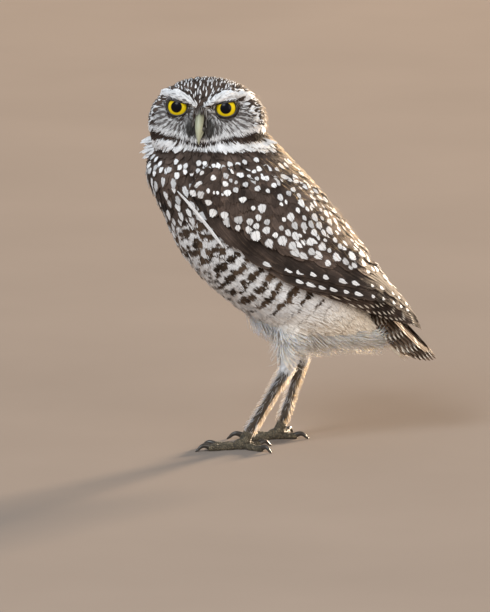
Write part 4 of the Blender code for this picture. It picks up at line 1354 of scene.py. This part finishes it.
def add_head(places, normals, material):
    """The head's feathers: bristles round eyes and bill, short ones in the bands, small ones elsewhere."""
    kept = ~near_bare(world_to_head(places))
    lids = [lid_ground(side) for side in (-1, 1)]
    places = np.concatenate([places[kept], *(point for point, _ in lids)])
    ground = Ground(places, np.concatenate([normals[kept], *(way for _, way in lids)]))
    h = world_to_head(places)
    usable = on_head_share(h) > 0.5
    zones = head_zones(h)
    brow = zones["brow"] > 0.5
    disc = (zones["disc"] > 0.5) & ~brow
    bands = (zones["cheek"] + zones["collar"] + zones["throat"] > 0.5) & ~disc & ~brow
    rest = usable & ~disc & ~bands & ~brow
    streaked_part = rest & ((zones["front"] < 0.5) | (h[:, 2] > -12.0))
    # Piece, where it grows, spacing, outline, lengths, half width, rise, thickness and if it has streaks
    layers = (
        ("face_coat", disc & usable, 0.78, "bristle", (2.8, 4.0), 0.28, (-0.1, 0.45, 0.8), 0.1, False),
        ("brow_coat", brow & usable, 0.95, "contour", (3.4, 4.6), 0.6, (-0.1, 0.6, 1.0), 0.1, False),
        ("band_coat", bands & usable, 0.9, "contour", (3.0, 4.4), 0.45, (-0.1, 0.7, 1.2), 0.12, False),
        ("crown_coat", rest, 1.8, "contour", (5.0, 6.6), 1.4, (-0.4, 1.0, 1.5), 0.12, False),
        ("crown_coat", streaked_part, 2.15, "contour", (5.6, 7.4), 0.85, (-0.4, 1.3, 2.0), 0.12, True),
    )
    coats = {}
    for name, allowed, spacing, outline, lengths, half, rise, thickness, streaked in layers:
        picks, roots = rooted(places, spacing, allowed, 0.25)
        count = len(roots)
        hr = world_to_head(roots)
        ways = unit(head_way(hr) + drift(0.12, (count, 3))) @ HEAD_AXES
        length = between(*lengths, count)
        if name == "crown_coat":
            near_bill = zones["front"][picks] * eased((20.0 - hr[:, 2]) / 11.0) * (hr[:, 2] > 0)
            length = length * (1 - 0.55 * near_bill)
        lines, facing = ground.lines(roots, ways, length, 5)
        look = head_look(world_to_head(lines[:, 3]), streaked)
        coat = coats.setdefault(name, Plumage(name))
        coat.add(lines, facing, half * between(0.8, 1.2, count), rise, look, head_patches(hr), outline,
                 1, 4 if outline == "bristle" else 5, thickness)
    for side in (-1, 1):
        add_bill_bristles(coats["face_coat"], side)
    for coat in coats.values():
        coat.build(material)


# Dark bristles over the bill's root, at its sides and on its top: number, first root, its tip and spread.
BILL_BRISTLES = (
    (70, (3.1, 23.8, 7.2), (3.5, 28.6, 1.6), (0.5, 0.6, 3.6)),
    (34, (1.4, 23.6, 10.6), (1.6, 31.6, 5.6), (1.4, 0.5, 0.5)),
)


def add_bill_bristles(coat, side):
    for count, first, last, spread in BILL_BRISTLES:
        start = np.array(first) + between(-1, 1, (count, 3)) * np.array(spread)
        end = start + np.array(last) - np.array(first) + drift(0.35, (count, 3))
        shares = evenly(5)[None, :, None]
        path = mixed(start[:, None], end[:, None], shares)
        path[..., 1] += 1.3 * np.sin(math.pi * shares[..., 0])
        path[..., 0] *= side
        facing = np.tile(unit(np.array((side * 0.7, 0.7, 0.3))), (count, 5, 1)) @ HEAD_AXES
        look = look_of(count, DARK * 1.7, WHITE, vary=0.3)
        look["ground"][CHANCE.random(count) < 0.3] = GREY
        coat.add(head_to_world(path), facing, between(0.16, 0.3, count), (0.0, 0.1, 0.1), look,
                 head_patches(start), "bristle", 1, 4, 0.1)


# Middles of the patches of crowded small spots beside the neck, as (station, angle) on the trunk.
CLUSTERS = ((0.075, 106.0), (0.075, -106.0))
CLUSTER_REACH = 9.0
# How near the wing feathers may grow: over the mantle, and elsewhere.
MANTLE_GAP, WING_GAP = 2.4, 1.2
BODY_FLOOR, FUZZ_FLOOR = 58.0, 90.0
UNDERSIDE_START = 0.235
SHOULDER_TURN = 60.0


def add_body(ground, skin_ground, places, gaps, trunk, feather, soft, fluff):
    """The trunk's feathers: spotted above and on the breast, barred below, plain and loose at the vent.

    Gaps are the distances of the places from the wings, under which no feather grows.
    """
    station, angle, _ = trunk.at(places)
    turn = np.abs(angle)
    body = (on_head_share(world_to_head(places)) < 0.5) & (places[:, 2] > BODY_FLOOR) & (station > 0.0)
    under = (turn > line(BELLY_EDGE, station)) & (station > UNDERSIDE_START)
    vent = body & under & (station > 0.6) & (gaps > WING_GAP)
    mantle = body & ~under & (gaps > MANTLE_GAP) & ((turn > SHOULDER_TURN) | (station < 0.43))
    belly = body & under & (station <= 0.62) & (gaps > WING_GAP)
    hearts = np.array([trunk_point(np.array(s), a) for s, a in CLUSTERS])
    cluster = np.min([np.linalg.norm(places - heart, axis=1) for heart in hearts], axis=0) < CLUSTER_REACH
    collar = mantle & (station < 0.07) & (turn > SHOULDER_TURN)
    open_mantle = mantle & ~cluster & ~collar
    fringe = body & (turn > np.interp(station, (0.58, 0.75), (162.0, 98.0))) & (station > 0.58)
    # Piece, where it grows, spacing, lengths, half width, strips, fray, rise, if it has marks, and material
    layers = (
        ("mantle_coat", mantle, 3.1, (9.0, 12.0), 3.0, 3, 0.5, (-0.8, 0.8, 1.5), False, feather),
        ("mantle_coat", open_mantle, 5.1, (10.0, 13.0), 3.1, 3, 0.35, (-0.6, 1.4, 2.3), True, feather),
        ("mantle_coat", collar, 3.7, (5.5, 7.5), 2.1, 2, 0.35, (-0.4, 1.4, 2.2), True, feather),
        ("mantle_coat", mantle & cluster, 2.3, (6.0, 8.0), 1.6, 2, 0.5, (-0.4, 1.4, 2.2), True, feather),
        ("belly_coat", belly, 2.8, (8.0, 11.0), 2.4, 3, 0.9, (-0.8, 0.6, 1.1), False, soft),
        ("belly_coat", belly, 3.9, (12.0, 15.0), 3.5, 5, 0.7, (-0.6, 1.0, 1.8), True, soft),
        ("vent_coat", vent, 2.0, (11.0, 16.0), 1.3, 3, 2.2, (-0.6, 0.8, 2.4), True, soft),
        ("fringe_coat", fringe, 1.9, (9.0, 15.0), 0.75, 2, 2.4, (-0.2, 1.6, 5.4), False, fluff),
        ("fringe_coat", fringe, 1.15, (9.0, 16.0), 0.24, 1, 1.0, (-0.2, 2.4, 7.6), False, fluff),
    )
    coats = {}
    for name, allowed, spacing, lengths, half, strips, fray, rise, marked, material in layers:
        _, roots = rooted(places, spacing, allowed, 0.2)
        count = len(roots)
        length = between(*lengths, count)
        s, a, ways = trunk.at(roots)
        flank = eased((np.abs(a) - 85.0) / 15.0) * eased((s - 0.3) / 0.15)
        ways = unit(ways + np.array((0.0, 0.55, 0.12)) * flank[:, None] + drift(0.09, (count, 3)))
        lines, facing = skin_ground.lines(roots, ways, length)
        if name == "mantle_coat":
            on_top = (np.abs(a) < 78.0)[:, None, None]
            over_lines, over_facing = ground.lines(roots, ways, length)
            lines, facing = np.where(on_top, over_lines, lines), np.where(on_top, over_facing, facing)
        s_tip, a_tip, _ = trunk.at(lines[:, 4])
        flow = roots @ np.array((0.0, 0.8, -0.6)) + 500.0
        widths = half * between(0.85, 1.15, count)
        look = body_look(s_tip, a_tip, CHANCE.random(count), (flow, length, widths) if marked else None)
        coat, _ = coats.setdefault(name, (Plumage(name), material))
        coat.add(lines, facing, widths, rise, look, patches_from(a / 180.0, s),
                 "bristle" if strips == 1 else "contour", strips, 5, 0.14, fray)
    for coat, material in coats.values():
        coat.build(material)


def add_fuzz(ground, places, trunk, material):
    """Fine loose barbs that stand a little proud of the head and back."""
    h = world_to_head(places)
    station, angle, _ = trunk.at(places)
    share = on_head_share(h)
    head = (share > 0.5) & (head_zones(h)["front"] < 0.6)
    back = ~head & (share < 0.5) & (np.abs(angle) < SHOULDER_TURN) & (station < 0.42)
    back &= places[:, 2] > FUZZ_FLOOR
    coat = Plumage("fuzz_coat")
    for allowed, spacing, lengths, rise in ((head, 1.7, (4.0, 6.5), (0.4, 1.8, 2.9)),
                                            (back, 2.6, (7.0, 10.0), (0.4, 2.1, 3.2))):
        roots = places[scattered(places, spacing, allowed)]
        count = len(roots)
        s, a, ways = trunk.at(roots)
        patch = patches_from(a / 180.0, s)
        if allowed is head:
            hr = world_to_head(roots)
            ways, patch = head_way(hr) @ HEAD_AXES, head_patches(hr)
        ways = unit(ways + drift(0.22, (count, 3)))
        lines, facing = ground.lines(roots, ways, between(*lengths, count), 5)
        look = look_of(count, FUZZ_BROWN, WHITE, vary=0.3)
        coat.add(lines, facing, np.full(count, 0.13), rise, look, patch, "bristle", 1, 4, 0.08)
    coat.build(material)


SHANK_FRONT = np.array((0.0, -1.0, -0.5))


def add_legs(ground, places, soft, fluff):
    """Short soft feathers on the thighs and bristles down the shanks."""
    height = places[:, 2]
    for side, name in SIDES:
        hip, heel, ankle = (np.array(p) + DESIGN_SHIFT for p in LEGS[name][:3])
        one = places[:, 0] * side > DESIGN_SHIFT[0] * side
        thigh, shank = (height < 64) & (height > 48), height <= 50
        for part, start, end, allowed, spacing, lengths, half, rise, strips in (
            ("thigh", hip, heel, thigh, 1.1, (5.0, 7.5), 0.7, (-0.2, 0.5, 1.2), 2),
            ("shank", heel, ankle, shank, 0.60, (2.6, 5.0), 0.15, (-0.1, 0.8, 2.4), 1),
        ):
            _, roots = rooted(places, spacing, allowed & one, 0.2)
            count = len(roots)
            axis = unit(end - start)
            ways = unit(axis + drift(0.12, (count, 3)))
            lines, normals = ground.lines(roots, ways, between(*lengths, count), 5)
            look = look_of(count, WHITE * 0.95, WHITE, vary=0.06)
            if part == "shank":
                front = unit(SHANK_FRONT - axis * float(SHANK_FRONT @ axis))
                low = eased((heel[2] + 2.0 - roots[:, 2]) / 9.0)
                dark = low * eased((0.97 - normals[:, 2] @ front) / 0.2) - (CHANCE.random(count) < 0.2)
                look["ground"] = pick(np.clip(dark, 0, 1), SHANK_BROWN, WHITE * 0.85)
            coat = Plumage(f"{name}_{part}_coat")
            coat.add(lines, normals, np.full(count, half), rise, look,
                     patches_from(roots[:, 1] - roots[:, 0], roots[:, 2]),
                     "contour" if strips > 1 else "bristle", strips, 4, 0.1, 0.6)
            coat.build(soft if part == "thigh" else fluff)


# Coats of the wing: the lower edge of the spotted panel, as places along the wing for places across it,
# the two rows of small spots below it as (along, across), number, size and lift, and two plain patches.
PANEL_EDGE = ((0.0, 0.2, 0.41, 0.61, 0.79, 0.88, 1.0), (0.90, 0.66, 0.57, 0.49, 0.385, 0.29, 0.24))
DOT_ROWS = (
    ((0.53, 0.565, 0.595, 0.635, 0.71, 0.80, 0.86), (0.985, 0.96, 0.91, 0.86, 0.72, 0.56, 0.44),
     11, 2.8, 2.1),
    ((0.44, 0.485, 0.515, 0.56, 0.61, 0.675, 0.76, 0.84), (0.96, 0.90, 0.81, 0.75, 0.66, 0.52, 0.38, 0.26),
     12, 3.2, 2.4),
)
DOT_HALF_WIDTH = 3.4
DOT_LENGTH = 19.0
PLAIN_PATCHES = ((0.185, 0.79, 0.045, 0.10), (0.215, 0.54, 0.05, 0.12))
PRIMARY_TIPS = ((0.90, 0.98), (0.93, 0.93), (0.955, 0.86), (0.975, 0.76), (0.99, 0.66), (1.0, 0.56),
                (0.985, 0.47), (0.965, 0.40), (0.945, 0.34), (0.92, 0.28))
# Tiers of plain feathers: first and last root, first and last tip, number, half width and rise.
TIERS = (
    ((0.34, 0.93), (0.36, 0.30), (0.60, 0.965), (0.93, 0.20), 9, 4.6, (-0.4, 0.9, 1.4)),
    ((0.34, 0.86), (0.34, 0.26), (0.52, 0.93), (0.84, 0.16), 8, 4.8, (-0.3, 1.0, 1.6)),
    ((0.16, 0.96), (0.26, 0.80), (0.36, 0.975), (0.47, 0.86), 7, 2.6, (-0.2, 1.0, 1.5)),
)


def add_on_wing(coat, side, roots, tips, steps, half, rise, look, strips, stations, thickness, fray, roll,
                outline="contour"):
    """Feathers over the wing's face from roots to tips, both as rows of (along, across)."""
    path = mixed(roots[:, None, :], tips[:, None, :], evenly(steps)[None, :, None])
    lines, normals = wing_face(path[..., 0], path[..., 1], side)
    coat.add(lines, normals, half, rise, look, patches_from(roots[:, 0], roots[:, 1]), outline, strips,
             stations, thickness, fray, roll * side)


def add_flight(side, name, material):
    """Primaries, secondaries and primary coverts: dark, with small pale marks along their edges."""
    coat = Plumage(f"{name}_flight_coat")
    tips = np.array(PRIMARY_TIPS)
    count = len(tips)
    roots = np.stack([np.linspace(0.38, 0.46, count), np.linspace(0.97, 0.60, count)], axis=1)
    look = look_of(count, DARK * 1.3, CREAM * 0.7, bars=(8.0, 0.1, 0.2, 0.42), vary=0.1)
    climb = evenly(count)
    rise = np.stack([np.full(count, -0.5), -0.4 + 1.1 * climb, -0.3 + 1.6 * climb], axis=1)
    half = np.full(count, 4.0)
    add_on_wing(coat, side, roots, tips, 10, half, rise, look, 5, 10, 0.22, 0.12, 0.1, "flight")
    for first_root, last_root, first_tip, last_tip, count, half, rise in TIERS:
        shares = evenly(count)[:, None]
        roots = mixed(np.array(first_root), np.array(last_root), shares)
        tips = mixed(np.array(first_tip), np.array(last_tip), shares)
        roots, tips = roots + drift(0.006, (count, 2)), tips + drift(0.006, (count, 2))
        look = look_of(count, BROWN * 0.62, WHITE, vary=0.14)
        half = half * between(0.94, 1.06, count)
        add_on_wing(coat, side, roots, tips, 9, half, rise, look, 5, 8, 0.2, 0.25, 0.12)
    for along, across, count, wide, lift in DOT_ROWS:
        steps = evenly(count) + drift(0.012, count)
        knots = evenly(len(along))
        tips = np.stack([np.interp(steps, knots, along), np.interp(steps, knots, across)], axis=1)
        roots = tips - np.array((0.10, 0.02))
        size = wide * between(0.8, 1.15, count)
        look = look_of(count, BROWN * 0.55, WHITE, vary=0.14)
        look["spot"][:, 1] = 0.84
        look["spot"][:, 2] = size / (4 * DOT_HALF_WIDTH)
        look["spot"][:, 3] = size * between(0.9, 1.4, count) / (2 * DOT_LENGTH)
        half, rise = np.full(count, DOT_HALF_WIDTH), (-0.2, lift - 0.6, lift)
        add_on_wing(coat, side, roots, tips, 7, half, rise, look, 3, 7, 0.18, 0.25, 0.08)
    coat.build(material)


def add_panel(side, name, material):
    """The coverts and scapulars, whose white spots grow toward the panel's lower edge."""
    point, _, flat = wing_ground(side, 0.02, 0.9)
    room = line(PANEL_EDGE, flat[:, 1]) - flat[:, 0]
    coat = Plumage(f"{name}_covert_coat")
    for spacing, marked, rise in ((4.4, False, (-0.3, 1.1, 1.6)), (4.7, True, (-0.2, 1.6, 2.3))):
        tips = flat[scattered(point, spacing, (room > 0.015) & (flat[:, 1] < 0.97))]
        count = len(tips)
        length = between(15.0, 19.0, count) * (0.72 + 0.28 * eased(tips[:, 0] / 0.25))
        slant = 0.16 - 0.13 * eased((tips[:, 0] - 0.15) / 0.35)
        roots = tips - np.stack([length / WING_SPAN * 0.95, slant + drift(0.02, count)], axis=1)
        roots = np.clip(roots, (0.0, 0.01), (1.0, 1.0))
        half = (3.9 if marked else 4.2) * between(0.9, 1.1, count)
        half = half * (0.8 + 0.2 * eased(tips[:, 0] / 0.2))
        look = look_of(count, BROWN, WHITE, vary=0.3)
        if marked:
            panel_spots(look["spot"], tips, half, length)
        tuck = eased((0.24 - tips[:, 1]) / 0.2)
        height = np.array(rise) - 0.9 * tuck[:, None]
        add_on_wing(coat, side, roots, tips, 8, half, height, look, 5, 7, 0.16, 0.35, 0.06 + 0.3 * tuck)
    coat.build(material, f"{name}_wing")


def panel_spots(spot, tips, half, length):
    """Spots of the coverts: larger toward the panel's lower edge, some in pairs, few in the plain patches."""
    count = len(tips)
    room = line(PANEL_EDGE, tips[:, 1]) - tips[:, 0]
    dice = CHANCE.random(count)
    wide = np.interp(room, (0.0, 0.05, 0.14, 0.3), (6.2, 5.9, 5.5, 4.8)) * between(0.62, 1.2, count)
    tall = wide * between(0.95, 1.45, count)
    shown = dice < 0.93
    for along, across, reach_along, reach_across in PLAIN_PATCHES:
        away = np.hypot((tips[:, 0] - along) / reach_along, (tips[:, 1] - across) / reach_across)
        shown &= (away > 1.0) | (dice < 0.12)
    paired = (dice > 0.7) & (room > 0.05)
    spot[:, 0] = np.where(paired, 0.27, 0.0)
    spot[:, 1] = 0.83 - 0.1 * paired
    spot[:, 2] = np.where(shown, wide / (4 * half), 0.0) * np.where(paired, 0.55, 1.0)
    spot[:, 3] = tall / (2 * length) * np.where(paired, 0.8, 1.0)


# Trim: the white edge of the wing's wrist, as (station, angle) on the trunk, the roots of the tufts at the
# ends of the throat band in the head's frame, and the roots of the tuft under the tail.
WRIST_LINE = ((0.155, 136.0), (0.365, 122.0))
RUFF_ROOT = (23.0, -1.0, -11.8)
RUFF_COUNT = 80
UNDERTAIL_ROOT = (0.0, 70.0, 63.5)
UNDERTAIL_COUNT = 90


def add_trim(material):
    coat = Plumage("trim_coat")
    for side, _ in SIDES:
        add_wrist(coat, side)
        add_ruff(coat, side)
    add_undertail(coat)
    coat.build(material)


def add_wrist(coat, side):
    for shift in (0.0, 0.4, 0.8):
        shares = np.linspace(shift * 0.6, min(shift * 0.6 + 0.62, 1.0), 8)
        station, angle = (low + (high - low) * shares for low, high in zip(*WRIST_LINE))
        path, lifted = (mirrored(trunk_point(station, angle, lift), side) for lift in (0.6, 1.6))
        look = look_of(1, WHITE, WHITE, vary=0.03)
        coat.add(path[None], unit(lifted - path)[None], np.array((0.85,)), (0.2, 1.0, 1.3), look,
                 np.array(((0.3, 0.3 + 0.2 * shift),)), "flight", 2, 8, 0.3, 0.2)


def straight(roots, way, reach, steps):
    """Straight lines from each root along its way."""
    return roots[:, None] + unit(way)[:, None] * reach[:, None, None] * evenly(steps)[:, None]


def add_ruff(coat, side):
    """The pale tuft that flares below a cheek."""
    count = RUFF_COUNT
    roots = np.array(RUFF_ROOT) + between(-1, 1, (count, 3)) * np.array((2.5, 3.5, 3.8))
    roots[:, 0] *= side
    slope = 0.08 + 0.45 * (RUFF_ROOT[2] + 3.6 - roots[:, 2]) / 7.2
    reach = between(11.0, 15.5, count)
    way = np.stack([np.full(count, float(side)), CHANCE.normal(-0.25, 0.12, count), -slope], axis=1)
    path = straight(roots, way, reach, 6)
    path[..., 2] -= 1.6 * evenly(6) ** 2
    facing = np.tile(unit(np.array((0.25 * side, 1.0, 0.35))), (count, 6, 1))
    look = look_of(count, WHITE * 0.97, WHITE, vary=0.05)
    look["ground"][np.abs(roots[:, 2] - RUFF_ROOT[2] + 3.2) < 0.6] = BROWN * 0.7
    coat.add(head_to_world(path), facing @ HEAD_AXES, between(0.9, 1.5, count), (0.0, 0.3, 0.6), look,
             head_patches(roots), "contour", 2, 6, 0.12, 0.8)


def add_undertail(coat):
    count = UNDERTAIL_COUNT
    roots = np.array(UNDERTAIL_ROOT) + DESIGN_SHIFT
    roots = roots + between(-1, 1, (count, 3)) * np.array((7.0, 5.0, 1.8))
    aside = (roots[:, 0] - DESIGN_SHIFT[0]) / 7.0
    way = np.stack([0.1 * aside, np.full(count, 0.78), between(-0.68, -0.56, count)], axis=1)
    reach = between(17.0, 25.0, count)
    path = straight(roots, way, reach, 7)
    facing = unit(np.stack([aside, np.full(count, -0.62), np.full(count, -0.78)], axis=1))
    look = look_of(count, CREAM, WHITE, vary=0.06)
    coat.add(path, np.repeat(facing[:, None], 7, axis=1), between(0.9, 1.5, count), (0.0, 0.2, 0.4),
             look, patches_from(roots[:, 0], roots[:, 2]), "contour", 3, 6, 0.12, 0.9)


TAIL_ROOT, TAIL_TIP = np.array((0.0, 60.0, 96.0)), np.array((0.0, 104.5, 47.5))
TAIL_PER_SIDE = 6
TAIL_HALF_WIDTH = 6.5
TAIL_STEP_OUT, TAIL_STEP_DOWN = 1.35, 1.25


def add_tail(material):
    """Twelve tail feathers in a folded, roof-shaped stack."""
    root, tip = TAIL_ROOT + DESIGN_SHIFT, TAIL_TIP + DESIGN_SHIFT
    run = unit(tip - root)
    above = np.cross((1.0, 0.0, 0.0), run)
    above = above if above[2] > 0 else -above
    length = float(np.linalg.norm(tip - root))
    shares = evenly(10)
    spread = 0.4 + 0.6 * eased(shares / 0.5)
    lines, normals, order = [], [], []
    for side in (-1, 1):
        outward = np.array((float(side), 0.0, 0.0))
        aside = outward * 3.5 - above * (0.9 + 0.5 * side)
        for k in range(TAIL_PER_SIDE):
            roll = math.radians(18.0 + 4.5 * k)
            normal = above * math.cos(roll) + outward * math.sin(roll)
            sideways = outward * math.cos(roll) - above * math.sin(roll)
            reach = length - 0.6 * k - 0.25 * k * k
            lines.append(root + run * (reach * shares)[:, None] + aside * spread[:, None])
            normals.append(np.repeat(normal[None], 10, axis=0))
            order.append(k + TAIL_PER_SIDE / 2 * (side + 1))
            aside = aside + sideways * TAIL_STEP_OUT - normal * TAIL_STEP_DOWN
    coat = Plumage("tail_coat")
    count = len(lines)
    look = look_of(count, WARM_BROWN * 1.35, CREAM * 0.8, bars=(5.5, 0.55, 0.2, 0.16), vary=0.1)
    coat.add(np.array(lines), np.array(normals), np.full(count, TAIL_HALF_WIDTH), (-0.3, -0.3, -0.3), look,
             patches_from(np.array(order), np.full(count, 0.5)), "flight", 7, 10, 0.3, 0.12)
    coat.build(material, "tail")


def make_coats():
    skin, places, normals = make_skin()
    trunk = TrunkMap()
    coat_skin(skin, places, trunk)
    feather = feather_material("feather")
    soft = feather_material("soft_feather", 0.9, 26.0, 0.09)
    fluff = feather_material("fluff", 0.9, 26.0, 0.09, 0.9)
    gaps = np.full(len(places), np.inf)
    outer = []
    for side, name in SIDES:
        wing_plate(side, name)
        outer.append(wing_ground(side, 0.0, 1.0))
        gaps = np.minimum(gaps, wing_gaps(side, places))
    shown = gaps >= WING_COVER
    ground = Ground(np.concatenate([places[shown], *(row[0] for row in outer)]),
                    np.concatenate([normals[shown], *(row[1] for row in outer)]))
    bare_ground = Ground(places, normals)
    add_head(places, normals, feather)
    add_body(ground, bare_ground, places, gaps, trunk, feather, soft, fluff)
    add_fuzz(ground, places, trunk, fluff)
    add_legs(bare_ground, places, soft, fluff)
    for side, name in SIDES:
        add_flight(side, name, feather)
        add_panel(side, name, feather)
    add_trim(soft)
    add_tail(feather)


def make_bare_parts():
    eye_shade, horn, toe_shade = eye_material(), bill_material(), toe_material()
    lid_shade = grained_material("lid_skin", 2400.0, 3.0, LID_COLOURS, (0.5, 0.0), 0.3)
    claw_shade = grained_material("claw_horn", 900.0, 4.0, CLAW_COLOURS, (0.2, 0.25), 0.15)
    for side, name in SIDES:
        make_eye(side, name, eye_shade)
        make_lids(side, name, lid_shade)
    make_bill("upper_bill", UPPER_BILL, horn)
    make_bill("lower_bill", LOWER_BILL, horn)
    for side, name in SIDES:
        make_foot(name, side, toe_shade, claw_shade)


# Stage, light and camera


FLOOR_SIDES, FLOOR_REACH = 96, 16000.0


def make_stage():
    """A wide, level, pale floor."""
    turns = turns_of(FLOOR_SIDES)
    rim = [(FLOOR_REACH * math.cos(turn), FLOOR_REACH * math.sin(turn), 0.0) for turn in turns]
    faces = [(0, 1 + j, 1 + (j + 1) % FLOOR_SIDES) for j in range(FLOOR_SIDES)]
    made = plain_mesh("stage", [(0.0, 0.0, 0.0), *rim], faces)
    made.data.materials.append(stage_material())


def area_light(name, place, target, size, power, colour):
    light = bpy.data.lights.new(name, "AREA")
    light.energy = power
    light.size = size
    light.color = colour
    made = linked(name, light)
    made.location = place
    made.rotation_euler = (Vector(target) - Vector(place)).to_track_quat("-Z", "Y").to_euler()


def make_light_and_camera():
    turn, tilt = CAMERA_AZIMUTH, CAMERA_ELEVATION
    back = np.array((math.sin(turn) * math.cos(tilt), -math.cos(turn) * math.cos(tilt), math.sin(tilt)))
    right = np.array((math.cos(turn), math.sin(turn), 0.0))
    up = np.cross(back, right)
    world = bpy.data.worlds.new("studio")
    world.use_nodes = True
    sky = world.node_tree.nodes["Background"].inputs
    sky["Color"].default_value = DAYLIGHT
    sky["Strength"].default_value = 0.4
    bpy.context.scene.world = world
    # Lights, in metres from the owl's middle: toward the camera, to the right, up; size, power and colour
    target = above(0.11)
    for name, nearer, beside, rise, size, power, colour in (
        ("key", 4.4, -2.6, 3.6, 2.6, 275.0, (0.88, 0.95, 1.0)),
        ("fill", 4.4, 4.0, 0.7, 4.0, 150.0, (1.0, 0.91, 0.80)),
        ("rim", -7.0, 5.6, 2.5, 1.6, 3900.0, (1.0, 0.78, 0.55)),
    ):
        place = target + back * nearer + right * beside + above(rise)
        area_light(name, tuple(place), tuple(target), size, power, colour)
    data = bpy.data.cameras.new("camera")
    data.sensor_fit = "VERTICAL"
    data.sensor_height = SENSOR_HEIGHT
    data.sensor_width = SENSOR_HEIGHT * PHOTO_SIZE[0] / PHOTO_SIZE[1]
    data.lens = SENSOR_HEIGHT * CAMERA_DISTANCE / (PHOTO_SIZE[1] * MM_PER_PIXEL)
    data.clip_end = 60.0
    camera = linked("camera", data)
    aim = DESIGN_SHIFT + right * (PHOTO_SIZE[0] / 2 - FEET_PIXEL[0]) * MM_PER_PIXEL
    aim = aim + up * (FEET_PIXEL[1] - PHOTO_SIZE[1] / 2) * MM_PER_PIXEL
    axes = Matrix(np.stack([right, up, back], axis=1).tolist())
    camera.matrix_world = Matrix.Translation(Vector((aim + back * CAMERA_DISTANCE) * MM)) @ axes.to_4x4()
    bpy.context.scene.camera = camera
    bpy.context.scene.view_settings.view_transform = "Standard"


make_coats()
make_bare_parts()
make_stage()
make_light_and_camera()
